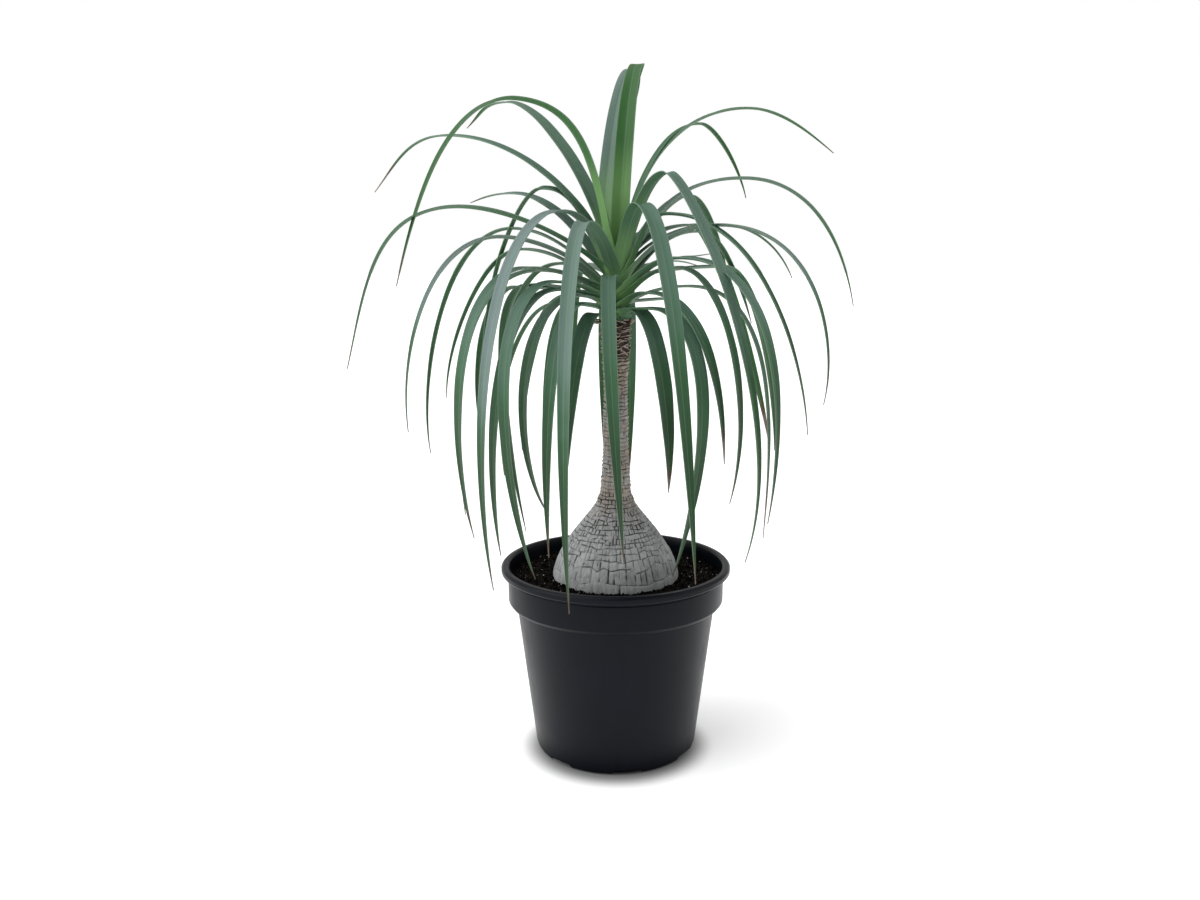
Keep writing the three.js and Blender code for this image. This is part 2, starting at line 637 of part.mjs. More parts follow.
function makeLeafCrown() {
  const core = turned(
    [
      [0, CROWN_BOTTOM],
      [CROWN_BOTTOM_RADIUS, CROWN_BOTTOM],
      [lerp(CROWN_BOTTOM_RADIUS, CROWN_TOP_RADIUS, 0.4), lerp(CROWN_BOTTOM, CROWN_TOP, 0.5)],
      [CROWN_TOP_RADIUS, CROWN_TOP - 4],
      [0, CROWN_TOP],
    ],
    STEM_SIDES,
  );
  return pieceOf("leaf_crown", fused([core, ...LEAVES.map(leaf)]), MATERIALS.leaf);
}

// ---- The plant in its pot ----------------------------------------------------------------------

const palm = new THREE.Group();
palm.name = "potted_ponytail_palm";
palm.add(makePot(), makeSoil(), makeTrunk(), makeDryLeafBases(), makeLeafCrown());

export default palm;
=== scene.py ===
# %% [markdown]
# # A ponytail palm in its nursery pot
#
# The plant is a grey corky bottle of a trunk with a thin ringed stem, ragged brown stubs of old
# leaves under the crown, and a fountain of long strap leaves. It stands in dark soil in a plain
# black pot. The measured solids come in first. Each grown piece is then made again over its solid,
# with the fine shapes that faceted solids leave out, and everything gets a material made of nodes.

import bisect
import math
import random

import bmesh
import bpy
from mathutils import Matrix, Vector, noise
from mathutils.geometry import interpolate_bezier


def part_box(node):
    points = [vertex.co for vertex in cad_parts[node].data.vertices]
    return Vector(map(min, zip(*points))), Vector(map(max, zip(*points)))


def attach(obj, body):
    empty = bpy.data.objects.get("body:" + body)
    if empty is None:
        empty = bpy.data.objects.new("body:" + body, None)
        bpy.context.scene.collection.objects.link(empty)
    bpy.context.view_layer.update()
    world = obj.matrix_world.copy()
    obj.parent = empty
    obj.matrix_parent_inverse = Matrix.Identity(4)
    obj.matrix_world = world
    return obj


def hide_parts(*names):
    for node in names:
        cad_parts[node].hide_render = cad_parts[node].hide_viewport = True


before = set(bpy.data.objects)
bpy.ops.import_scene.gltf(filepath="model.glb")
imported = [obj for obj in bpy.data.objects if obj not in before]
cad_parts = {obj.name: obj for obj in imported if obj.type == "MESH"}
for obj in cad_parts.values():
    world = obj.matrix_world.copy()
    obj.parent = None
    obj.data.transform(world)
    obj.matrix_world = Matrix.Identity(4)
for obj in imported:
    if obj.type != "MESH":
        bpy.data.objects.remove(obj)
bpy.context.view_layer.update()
print("solids:", sorted(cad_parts))

# %% [markdown]
# Every size of the plant below is in millimetres, as a grower would measure it, and the factor MM
# turns it into the metres that the scene uses. The pot's rim, the soil and the ends of the trunk
# come from the solids, so the new pieces sit exactly where the solids are.

# %% Sizes taken from the solids
MM = 0.001


def reach(node):
    """The radius, the lowest and the highest point of a node round the upright axis, in mm."""
    low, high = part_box(node)
    return max(high.x, high.y) / MM, low.z / MM, high.z / MM


LIP_RADIUS, _, POT_TOP = reach("pot")
_, SOIL_BOTTOM, _ = reach("soil")
CAUDEX_RADIUS, TRUNK_BOTTOM, TRUNK_TOP = reach("trunk")
_, STUB_BOTTOM, STUB_TOP = reach("dry_leaf_bases")
_, _, CROWN_TOP = reach("leaf_crown")
SOIL_BELOW_RIM = 18
SOIL_LEVEL = POT_TOP - SOIL_BELOW_RIM
print("rim", round(LIP_RADIUS), "pot", round(POT_TOP), "whole", round(CROWN_TOP), "mm")

# %% [markdown]
# ## Writing materials as sums
#
# A material is a small graph of nodes. Long graphs are hard to read as lists of links, so a few
# small classes let them be written as sums. `Wire` is the output of a node, and adding or
# multiplying wires adds the Math nodes. `Graph` holds a tree of nodes and adds every other kind of
# node, and `Finish` is the graph of one material.


# %% Wires
class Wire:
    """A node's output, which takes part in sums."""

    def __init__(self, finish, socket):
        self.finish = finish
        self.socket = socket

    def sum_of(self, operation, *values):
        """The result of a Math node."""
        return self.finish.add("Math", {"operation": operation}, *values)

    def __add__(self, other):
        return self.sum_of("ADD", self, other)

    def __sub__(self, other):
        return self.sum_of("SUBTRACT", self, other)

    def __rsub__(self, other):
        return self.sum_of("SUBTRACT", other, self)

    def __mul__(self, other):
        return self.sum_of("MULTIPLY", self, other)

    def __abs__(self):
        return self.sum_of("ABSOLUTE", self)

    __radd__ = __add__
    __rmul__ = __mul__

    def ramp(self, low, high):
        """0 below low, 1 above high, and smooth between them."""
        settings = {"interpolation_type": "SMOOTHSTEP"}
        return self.finish.add("MapRange", settings, self, low, high)


print("a wire can: +, -, *, abs, ramp")


# %% Graphs
class Graph:
    """A tree of shader nodes, for the room or for one material."""

    def __init__(self, tree, shader):
        self.tree = tree
        self.shader = shader

    def add(self, kind, settings=None, *values, output=0, **named):
        """A node of any kind: its settings first, then the values or wires of its sockets."""
        node = self.tree.nodes.new("ShaderNode" + kind)
        for key, value in (settings or {}).items():
            setattr(node, key, value)
        by_name = [(node.inputs[key.replace("_", " ")], value) for key, value in named.items()]
        for socket, value in list(zip(node.inputs, values)) + by_name:
            self.plug(socket, value)
        return Wire(self, node.outputs[output])

    def plug(self, socket, value):
        """Links a wire to a socket, or sets the socket to a plain value."""
        if isinstance(value, Wire):
            self.tree.links.new(value.socket, socket)
        elif value is not None:
            socket.default_value = value

    def mix(self, factor, first, second):
        """A blend of two colours."""
        node = self.tree.nodes.new("ShaderNodeMix")
        node.data_type = "RGBA"
        for socket, value in ((0, factor), (6, first), (7, second)):
            colour = (*value, 1) if isinstance(value, tuple) else value
            self.plug(node.inputs[socket], colour)
        return Wire(self, node.outputs[2])

    def parts(self, where):
        """The numbers that a place or direction is made of."""
        node = self.tree.nodes.new("ShaderNodeSeparateXYZ")
        self.plug(node.inputs[0], where)
        return [Wire(self, output) for output in node.outputs]

    def noise(self, where, scale, detail=3.0, roughness=0.55):
        """Soft noise from 0 to 1 at the places that a wire gives."""
        return self.add(
            "TexNoise", None, Vector=where, Scale=scale, Detail=detail, Roughness=roughness
        )

    def stretched(self, where, scale):
        """The same places, stretched or squeezed along each axis."""
        return self.add("Mapping", None, Vector=where, Scale=scale)

    def feed(self, **sockets):
        """Plugs values or wires into the sockets of the shader."""
        for key, value in sockets.items():
            self.plug(self.shader.inputs[key.replace("_", " ")], value)


print("a graph can: add, plug, mix, parts, noise, stretched, feed")


# %% Finishes
class Finish(Graph):
    """One procedural material. Plain numbers and colours are set on the shader itself."""

    def __init__(self, name, **plain):
        self.material = bpy.data.materials.new(name)
        self.material.use_nodes = True
        tree = self.material.node_tree
        super().__init__(tree, tree.nodes["Principled BSDF"])
        self.feed(**plain)

    def __str__(self):
        return f"{self.material.name}: {len(self.tree.nodes)} nodes"

    def place(self):
        """Object coordinates, in metres."""
        return self.add("TexCoord", None, output=3)

    def mark(self, name):
        """A number that the mesh carries at each vertex."""
        return self.add("Attribute", {"attribute_name": name}, output=2)

    def bump(self, height, strength, distance):
        """Fine relief in the shading alone."""
        relief = self.add("Bump", None, Strength=strength, Distance=distance, Height=height)
        self.feed(Normal=relief)


print("a finish is a graph with: place, mark, bump")

# %% [markdown]
# ## Camera, light and floor
#
# The photograph was taken from a little over a metre away, at the height of the leaf crown, looking
# down by about eleven degrees. A wide lens close by makes the pot taper more than it really does,
# so the distance matters as much as the lens. The light is a wide soft sky of lamps above and to
# the left. Suns with a large angle are used for it, because a sun lights a floor evenly out to the
# horizon, and a white sweep then stays white, with only a soft shadow beside the pot. The room's
# own light is pure white to the camera. To the plant it is bright behind and on the left, and dim
# on the camera's side, as in a studio with a white wall: that gives dark plastic its bright sides.

# %% Camera
FRAME_WIDTH = 1200
AXIS_PIXEL = 615.7
LENS = 31.5
EYE_AWAY = 1.244
EYE_HEIGHT = 0.607
LOOKS_DOWN = 10.68
camera = bpy.data.cameras.new("camera")
camera.sensor_width = 36
camera.lens = LENS
camera.shift_x = (FRAME_WIDTH / 2 - AXIS_PIXEL) / FRAME_WIDTH
view = bpy.data.objects.new("camera", camera)
view.location = (0, -EYE_AWAY, EYE_HEIGHT)
view.rotation_euler = (math.radians(90 - LOOKS_DOWN), 0, 0)
bpy.context.scene.collection.objects.link(view)
bpy.context.scene.camera = view
print("lens", camera.lens, "mm, shift", round(camera.shift_x, 4))


# %% Lamps and room
def wide_sun(name, comes_from, spread, strength):
    """Even light from one side of the sky. The spread is the angle that it comes from."""
    light = bpy.data.lights.new(name, "SUN")
    light.angle = math.radians(spread)
    light.energy = strength
    holder = bpy.data.objects.new(name, light)
    holder.rotation_euler = Vector(comes_from).to_track_quat("Z", "Y").to_euler()
    holder.location = Vector(comes_from) * 2
    bpy.context.scene.collection.objects.link(holder)


wide_sun("overhead", (-0.45, -0.1, 1.0), 60, 1.35)
wide_sun("window", (-1.0, -0.48, 0.42), 60, 1.7)
wide_sun("fill", (0.9, -0.3, 0.4), 80, 0.95)
world = bpy.data.worlds.new("white_room")
world.use_nodes = True
room = Graph(world.node_tree, world.node_tree.nodes["Background"])
room.feed(Color=(1, 1, 1, 1))
to_right, to_back, _ = room.parts(room.add("TexCoord"))
lit = 0.05 + to_back.ramp(-0.55, 0.6) * 0.55 + (1 - to_right.ramp(-0.9, 0.9)) * 0.2
seen = room.add("LightPath")
room.feed(Strength=lit * (1 - seen) + seen)
bpy.context.scene.world = world
bpy.context.scene.view_settings.view_transform = "Standard"

# %% [markdown]
# ## The floor
#
# A white sweep: one wide pale plane. It isn't part of the plant. A trace of noise in its tone
# keeps it from looking like a cut-out, and a little light of its own keeps the shadow as faint as
# it is on an overexposed sheet. Close round the foot the sheet is darkened by its distance from
# the foot ring, where a studio's light can't creep in.

# %% Floor
FOOT_RADIUS = 0.095  # these lengths are in metres
CONTACT_FORWARD = 0.011
CONTACT_REACH = 0.031
CONTACT_DEPTH = 0.96
FLOOR_HALF = 30
paper = Finish("white_paper", Roughness=0.9, Specular_IOR_Level=0.2, Emission_Strength=0.35)
mottle = paper.noise(paper.place(), 3.0)
sheet = paper.mix(mottle, (0.93, 0.93, 0.93), (0.97, 0.97, 0.97))
to_side, to_rear, _ = paper.parts(paper.place())
to_rear = to_rear + CONTACT_FORWARD
from_foot = paper.add("Math", {"operation": "SQRT"}, to_side * to_side + to_rear * to_rear)
from_foot = from_foot - FOOT_RADIUS
# Painted contact shadow: the sheet's colour and glow are darkened in a ring round the foot.
painted_contact_shadow = (1 - from_foot.ramp(-0.006, CONTACT_REACH)) * CONTACT_DEPTH
# Painted shade under the pot: the sheet is near black where the foot hides it.
painted_shade_beneath = 1 - from_foot.ramp(-0.018, -0.007)
floor_tone = paper.mix(painted_contact_shadow, sheet, (0.2, 0.2, 0.2))
glow_tone = paper.mix(painted_contact_shadow, (1.0, 1.0, 1.0), (0.06, 0.06, 0.06))
paper.feed(
    Base_Color=paper.mix(painted_shade_beneath, floor_tone, (0.01, 0.01, 0.01)),
    Emission_Color=paper.mix(painted_shade_beneath, glow_tone, (0.0, 0.0, 0.0)),
)
ground = bmesh.new()
bmesh.ops.create_grid(ground, x_segments=1, y_segments=1, size=FLOOR_HALF)
floor_mesh = bpy.data.meshes.new("floor")
ground.to_mesh(floor_mesh)
ground.free()
floor_mesh.materials.append(paper.material)
floor = bpy.data.objects.new("floor", floor_mesh)
bpy.context.scene.collection.objects.link(floor)
print("floor", round(floor.dimensions.x), "m wide")

# %% [markdown]
# ## Turned shapes
#
# The pot, the soil and the trunk are all round, so each starts as an outline that is spun about the
# upright axis. Outlines come as a few points of radius and height. Where a shape is a soft curve, a
# helper draws a smooth line through the points before it is spun.


# %% Helpers for round pieces
def smooth_line(points, step):
    """A smooth line through points of radius and height, with a point about every step mm."""
    spots = [Vector((radius, 0, height)) for radius, height in points]
    line = [spots[0]]
    for i in range(len(spots) - 1):
        before, here = spots[max(i - 1, 0)], spots[i]
        there, after = spots[i + 1], spots[min(i + 2, len(spots) - 1)]
        span = (there - here).length
        out_of = (there - before).normalized() * span / 3
        into = (after - here).normalized() * span / 3
        count = max(2, round(span / step) + 1)
        line += interpolate_bezier(here, here + out_of, there - into, there, count)[1:]
    return [(spot.x, spot.z) for spot in line]


def spun(outline, steps):
    """A closed round body: an outline of (radius, height) in mm, spun about the upright axis."""
    body = bmesh.new()
    spots = [body.verts.new((radius * MM, 0, height * MM)) for radius, height in outline]
    edges = [body.edges.new(pair) for pair in zip(spots, spots[1:])]
    bmesh.ops.spin(
        body, geom=spots + edges, axis=(0, 0, 1), cent=(0, 0, 0),
        angle=math.tau, steps=steps, use_merge=True,
    )
    bmesh.ops.remove_doubles(body, verts=body.verts, dist=1e-6)
    bmesh.ops.recalc_face_normals(body, faces=body.faces)
    return body


def piece(name, body, material_slot, node, *finishes):
    """A finished piece: its mesh, its materials, and the solid that it stands for."""
    mesh = bpy.data.meshes.new(name)
    body.to_mesh(mesh)
    body.free()
    mesh.shade_smooth()
    for finish in finishes:
        mesh.materials.append(finish.material)
    made = bpy.data.objects.new(name, mesh)
    bpy.context.scene.collection.objects.link(made)
    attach(made, "root")
    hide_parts(node)
    print(name, len(mesh.polygons), "faces")
    return made


def set_modifiers_in(made):
    """Gives a piece the mesh that its modifiers leave, and takes the modifiers off."""
    bpy.context.view_layer.update()
    graph = bpy.context.evaluated_depsgraph_get()
    settled = bpy.data.meshes.new_from_object(made.evaluated_get(graph))
    made.modifiers.clear()
    made.data = settled


print("round pieces: smooth_line, spun, piece, set_modifiers_in")

# %% [markdown]
# ## The pot
#
# A nursery pot is one thin moulding of black plastic: a rolled lip, a straight collar, a step, and
# a tapered body that stands on a foot ring. The outline is spun, then the rings where the wall
# turns sharply are bevelled, because no moulded edge is truly sharp and the bevels catch the light.
# The drain notches are cut by blocks with a boolean, and the drain holes by short round bars.

# %% Pot finish
pot_plastic = Finish("pot_plastic", Specular_IOR_Level=0.13)
spot = pot_plastic.place()
haze = pot_plastic.noise(spot, 14.0, detail=5.0)
streaks = pot_plastic.noise(pot_plastic.stretched(spot, (60, 60, 5)), 1.0, detail=4.0)
dust = (haze * 0.6 + streaks * 0.4).ramp(0.42, 0.75)
pot_plastic.feed(
    Base_Color=pot_plastic.mix(dust, (0.0012, 0.0021, 0.005), (0.003, 0.0044, 0.0095)),
    Roughness=0.34 + dust * 0.14,
)
grain = pot_plastic.noise(spot, 900.0, detail=2.0)
pot_plastic.bump(grain * 0.6 + streaks * 0.4, 0.1, 0.0004)
print(pot_plastic)

# %% Pot body
WALL = 2.5
COLLAR = LIP_RADIUS - 8.4
LIP_UNDER = POT_TOP - 9
STEP = 187
BODY_TOP = 121.6
BODY_FOOT = 99
POT_STEPS = 144
SHARP_TURN = 12  # degrees between two rings of the wall
EDGE_ROUNDING = 0.45
pot_outline = [
    (0, 6), (87, 6), (88, 0), (94, 0),
    (96.6, 1.2), (98.4, 3.6), (99.8, 8),
    (BODY_TOP, STEP - 3), (COLLAR - 3, STEP - 1.5), (COLLAR, STEP + 2.5),
    (COLLAR + 0.3, LIP_UNDER - 5), (COLLAR - 0.5, LIP_UNDER - 4.2),
    (COLLAR + 0.2, LIP_UNDER - 3.2), (COLLAR + 0.8, LIP_UNDER),
    (LIP_RADIUS - 1.6, LIP_UNDER - 0.4),
    (LIP_RADIUS, LIP_UNDER + 1.6), (LIP_RADIUS, POT_TOP - 2.6), (LIP_RADIUS - 2.4, POT_TOP),
    (LIP_RADIUS - 7.4, POT_TOP), (LIP_RADIUS - 9.6, POT_TOP - 2.2),
    (COLLAR - WALL, LIP_UNDER - 2), (COLLAR - WALL, STEP + 4),
    (BODY_TOP - WALL, STEP - 3), (BODY_FOOT - WALL + 1.2, 13), (BODY_FOOT - 7, 9), (0, 9),
]
pot_body = spun(pot_outline, POT_STEPS)
rings = [
    edge for edge in pot_body.edges
    if abs(edge.verts[0].co.z - edge.verts[1].co.z) < 1e-6
    and abs(edge.verts[0].co.xy.length - edge.verts[1].co.xy.length) < 1e-6
    and edge.calc_face_angle(0) > math.radians(SHARP_TURN)
]
bmesh.ops.bevel(
    pot_body, geom=rings, offset=EDGE_ROUNDING * MM, segments=3, profile=0.5, affect="EDGES",
    material=-1,
)
pot = piece("nursery_pot", pot_body, "pot_plastic", "pot", pot_plastic)

# %% Drain notches and holes
NOTCHES = 7
FIRST_NOTCH = 278  # degrees from +X
NOTCH_PLACE, NOTCH_DEEP = 98, 30
NOTCH_WIDE, NOTCH_NARROW, NOTCH_TALL = 38, 32, 6
HOLE_PLACE, HOLE_RADIUS = 70, 6
cutters = bmesh.new()
for i in range(NOTCHES):
    turn = Matrix.Rotation(math.radians(FIRST_NOTCH + 360 / NOTCHES * i), 4, "Z")
    block = bmesh.ops.create_cube(cutters, size=1)["verts"]
    for corner in block:
        wide, height = (NOTCH_NARROW, NOTCH_TALL) if corner.co.z > 0 else (NOTCH_WIDE, -1)
        place = (NOTCH_PLACE + corner.co.x * NOTCH_DEEP, corner.co.y * wide, height)
        corner.co = Vector(place) * MM
    bmesh.ops.transform(cutters, matrix=turn, verts=block)
    bmesh.ops.create_cone(
        cutters, cap_ends=True, segments=24, depth=20 * MM,
        radius1=HOLE_RADIUS * MM, radius2=HOLE_RADIUS * MM,
        matrix=turn @ Matrix.Translation((HOLE_PLACE * MM, 0, 8 * MM)),
    )
bmesh.ops.recalc_face_normals(cutters, faces=cutters.faces)
cutter_mesh = bpy.data.meshes.new("cutters")
cutters.to_mesh(cutter_mesh)
cutters.free()
cutter = bpy.data.objects.new("cutters", cutter_mesh)
bpy.context.scene.collection.objects.link(cutter)
cut = pot.modifiers.new("drains", "BOOLEAN")
cut.operation = "DIFFERENCE"
cut.solver = "EXACT"
cut.object = cutter
set_modifiers_in(pot)
bpy.data.objects.remove(cutter)
pot.data.set_sharp_from_angle(angle=math.radians(40))
print("pot with drains:", len(pot.data.polygons), "faces")

# %% [markdown]
# ## The soil
#
# Potting soil is dark peat with crumbs, bits of bark and a little white grit. A smooth disc would
# give it away at once, so the top of a spun body is pushed up and down by noise, and then some
# thousands of tiny squashed balls are strewn over it: twenty faces each, because there are so many.

# %% Soil finishes
peat = Finish("potting_soil", Roughness=0.8, Specular_IOR_Level=0.05)
spot = peat.place()
clods = peat.noise(spot, 160.0, detail=6.0, roughness=0.7)
fleck = peat.noise(spot, 520.0, detail=2.0)
tone = peat.mix(clods.ramp(0.4, 0.75), (0.0012, 0.001, 0.0009), (0.0085, 0.006, 0.0042))
peat.feed(Base_Color=peat.mix(fleck.ramp(0.64, 0.7), tone, (0.11, 0.075, 0.052)))
peat.bump(clods + fleck * 0.5, 0.9, 0.003)

grit = Finish("soil_grit", Roughness=0.85)
grit_tone = grit.noise(grit.place(), 300.0)
grit.feed(Base_Color=grit.mix(grit_tone, (0.34, 0.31, 0.27), (0.62, 0.6, 0.56)))
grit.bump(grit_tone, 0.5, 0.001)
print(peat, grit, sep="\n")


# %% Height of the soil
HEAP_REACH = 14  # how far from the trunk the soil is heaped up against it


def soil_height(x, y):
    """The height of the soil's top in mm: lumps of a few sizes, heaped unevenly at the trunk."""
    wide, lump, crumb, fine, heap = (
        noise.noise(Vector((x * scale, y * scale, place)))
        for scale, place in ((0.03, 3.1), (0.11, 7.7), (0.38, 1.3), (0.8, 2.9), (0.05, 5.9))
    )
    near_trunk = max(0, 1 - (math.hypot(x, y) - CAUDEX_RADIUS + 2) / HEAP_REACH)
    heaped = 1.6 + 1.5 * heap + 0.8 * crumb + 1.8 * fine
    return SOIL_LEVEL + 1.6 * wide + 1.6 * lump + 1.1 * crumb + heaped * near_trunk


print("soil", round(soil_height(CAUDEX_RADIUS, 0), 1), "mm high at the right of the trunk")

# %% Soil body
SOIL_CLEAR = 0.4
SOIL_WALL = COLLAR - WALL - SOIL_CLEAR
SOIL_BAND = 54  # the lumpy part, from the pot's wall inwards to under the trunk's skin
SOIL_RINGS = 46
SOIL_STEPS = 300
soil_top = [(SOIL_WALL - SOIL_BAND * (i / SOIL_RINGS), SOIL_LEVEL) for i in range(SOIL_RINGS + 1)]
soil_outline = [
    (0, SOIL_BOTTOM), (92, SOIL_BOTTOM), (97, 14), (BODY_TOP - WALL - 0.6, STEP - 4),
    (SOIL_WALL, STEP + 5), (SOIL_WALL, SOIL_LEVEL - 8), *soil_top,
    (40, SOIL_LEVEL - 30), (0, 169.5),
]
soil_body = spun(soil_outline, SOIL_STEPS)
for vert in soil_body.verts:
    if vert.co.z > (SOIL_LEVEL - 1) * MM:
        vert.co.z = soil_height(vert.co.x / MM, vert.co.y / MM) * MM
piece("soil_bed", soil_body, "potting_soil", "soil", peat)

# %% Crumbs and grit
draw = random.Random(5)


def strewn(count, smallest, largest, flat, outermost):
    """Small rough lumps that lie on the soil, from the trunk out to a radius."""
    heap = bmesh.new()
    for _ in range(count):
        turn = draw.uniform(0, math.tau)
        away = math.sqrt(draw.uniform((CAUDEX_RADIUS + 0.5) ** 2, outermost**2))
        x, y = away * math.cos(turn), away * math.sin(turn)
        size = smallest * (largest / smallest) ** (draw.random() ** 2)
        place = Matrix.Translation(Vector((x, y, soil_height(x, y) + 0.3 * size)) * MM)
        angle = draw.uniform(0, math.tau)
        spin = Matrix.Rotation(angle, 4, Vector((draw.random(), draw.random(), 1)))
        shape = Matrix.Diagonal((size * MM, size * draw.uniform(0.5, 1) * MM, flat * size * MM, 1))
        lump = bmesh.ops.create_icosphere(
            heap, subdivisions=1, radius=1, matrix=place @ spin @ shape
        )["verts"]
        for vert in lump:
            vert.co += Vector([draw.uniform(-0.18, 0.18) * size * MM for _ in range(3)])
    return heap


SOIL_EDGE = SOIL_WALL - 2.5
for name, finish, count, smallest, largest, flat, outermost in (
    ("soil_crumbs", peat, 1500, 0.7, 3.0, 0.6, SOIL_EDGE),
    ("trunk_crumbs", peat, 700, 0.6, 2.0, 0.7, CAUDEX_RADIUS + 5),
    ("soil_grit", grit, 300, 0.3, 1.3, 0.8, SOIL_EDGE),
):
    heap = strewn(count, smallest, largest, flat, outermost)
    piece(name, heap, "potting_soil", "soil", finish)

# %% [markdown]
# ## The trunk
#
# The swollen base is covered in grey cork that splits as it swells. Low down the plates are tall
# and parted by upright cracks and jagged cross cracks, and higher up they lie in short rows. The
# cracks are real grooves in the mesh. A smooth body is spun, and each of its vertices is pushed in
# where it lies near a crack. Every vertex also carries how deep it lies, the tone of its plate and
# how warm its grey is, and the material reads all three. It paints the deep parts of the cracks
# near black, as painted shade in grooves narrower than the mesh can show. The upright streaks in
# the cork are finer than the mesh can show, so they are noise that is stretched upright.

# %% Bark finish
bark = Finish("bark", Specular_IOR_Level=0.3)
spot = bark.place()
depth = bark.mark("groove")
plate = bark.mark("plate")
warm = bark.mark("warmth")
blotch = bark.noise(spot, 26.0, detail=4.0)
pores = bark.noise(bark.stretched(spot, (1, 1, 0.4)), 420.0, detail=5.0, roughness=0.7)
streak = bark.noise(bark.stretched(spot, (1, 1, 0.09)), 330.0, detail=4.0, roughness=0.6)
light = blotch * 0.45 + plate * 0.1 + streak * 0.6 + 0.06
cool_tone = bark.mix(light.ramp(0.35, 0.85), (0.165, 0.168, 0.17), (0.41, 0.415, 0.42))
warm_tone = bark.mix(light.ramp(0.35, 0.9), (0.15, 0.12, 0.096), (0.44, 0.38, 0.315))
surface = bark.mix(warm.ramp(0.0, 1.0), cool_tone, warm_tone)
speckled = bark.mix(pores.ramp(0.55, 0.78) * 0.4, surface, (0.09, 0.082, 0.075))
rust = blotch * 0.6 + pores * 0.4 + warm * 0.12
speckled = bark.mix(rust.ramp(0.66, 0.74) * 0.55, speckled, (0.16, 0.07, 0.05))
# Painted shade in the cracks: near black where they lie deepest, stronger in some stretches than in
# others.
crack_shade_share = bark.noise(spot, 17.0, detail=1.0).ramp(0.38, 0.6) * 0.35 + 0.62
bark.feed(
    Base_Color=bark.mix(depth.ramp(0.18, 0.75) * crack_shade_share, speckled, (0.016, 0.013, 0.011)),
    Roughness=0.58 + pores * 0.25,
)
bark.bump(pores * 0.5 + streak + blotch * 0.2, 0.45, 0.001)
print(bark)

# %% [markdown]
# A crack has no straight edge anywhere, and neither does a row of plates. A row's lower line is
# drawn as a jagged ring: corners at uneven angles, each a little higher or lower, and each stretch
# between two corners open or nearly closed. The upright cracks of a row partly go on from the row
# below.


# %% Rows of cork plates
def jagged_ring(spacing, swing, openness):
    """A jagged line round the trunk: its corners as (angle, height off the line, how open)."""
    corners = []
    turn = 0.0
    while turn < math.tau - 0.6 * spacing:
        rise = draw.uniform(-swing, swing)
        corners.append((turn, rise, openness * draw.choice((0.5, 0.8, 1, 1))))
        turn += spacing * draw.uniform(0.5, 1.5)
    first = corners[0]
    return [*corners, (math.tau, first[1], first[2])]


def on_ring(corners, turn):
    """The height off the line and the openness of a jagged ring at an angle."""
    index = bisect.bisect([corner[0] for corner in corners], turn) - 1
    here, after = corners[index], corners[min(index + 1, len(corners) - 1)]
    share = (turn - here[0]) / max(after[0] - here[0], 1e-9)
    return here[1] + (after[1] - here[1]) * share, here[2]


GOES_ON = 0.6  # the share of upright cracks that go on into the row above


def plate_rows(lines, strengths, radius_at):
    """The rows of plates over lines, each line given with its swing, openness and plate width."""
    rows = []
    cracks = []
    for height, swing, openness, plate_width in lines:
        width = plate_width / radius_at(height)
        kept = [crack[0] for crack in cracks if draw.random() < GOES_ON]
        turn = draw.uniform(0, width)
        spots = []
        while turn < math.tau:
            below = [spot for spot in kept if abs(spot - turn) < 0.45 * width]
            spots.append(below[0] if below else turn)
            turn += width * draw.uniform(0.6, 1.5)
        cracks = [
            (spot, draw.choice(strengths(height)), draw.uniform(0.6, 1.9), draw.random() < 0.5)
            for spot in spots
        ]
        rows.append((height, jagged_ring(1.3 * width, swing, openness), cracks))
    return rows


def rows_at(rows, turn):
    """What each row is like at one angle round the trunk."""
    found = []
    for height, ring, cracks in rows:
        rise, openness = on_ring(ring, turn)
        gaps = [abs((turn - crack[0] + math.pi) % math.tau - math.pi) for crack in cracks]
        nearest = gaps.index(min(gaps))
        before = sum(crack[0] < turn for crack in cracks) % len(cracks)
        found.append((height + rise, openness, gaps[nearest], cracks[nearest], before))
    return found


print("rows of plates: jagged_ring, plate_rows, rows_at")


# %% Carving the cracks
def near(distance, half_width):
    """1 at no distance, falling smoothly to almost 0 at twice the half width."""
    return math.exp(-((distance / half_width) ** 2))


def groove_depth(column, row, height, turn, radius, half_width):
    """How deep a place on the bark lies in a crack, from 0 to 1."""
    start, openness, gap, (_, strength, reach_up, from_top), _ = column[row]
    end, end_openness = column[row + 1][:2] if row + 1 < len(column) else (start + 60, 0)
    broken = 0.9 + 0.5 * noise.noise(Vector((turn * 7, start, 3.3)))
    line = max(
        near(height - start, half_width) * openness,
        near(end - height, half_width) * end_openness,
    )
    share = (height - start) / max(end - start, 0.1)
    run = share if not from_top else 1 - share
    fade = max(0, min(1, (reach_up - run) * 6))
    crooked = 0.9 * noise.noise(Vector((turn * 3, height * 0.16, start)))
    upright = near(gap * radius + crooked, half_width) * strength * fade
    return max(0, min(1, max(line * broken, upright)))


BELOW_ROWS = 8  # how far under the lowest row the bark is still carved
CORE_RADIUS = 12  # nothing is carved nearer to the axis than this


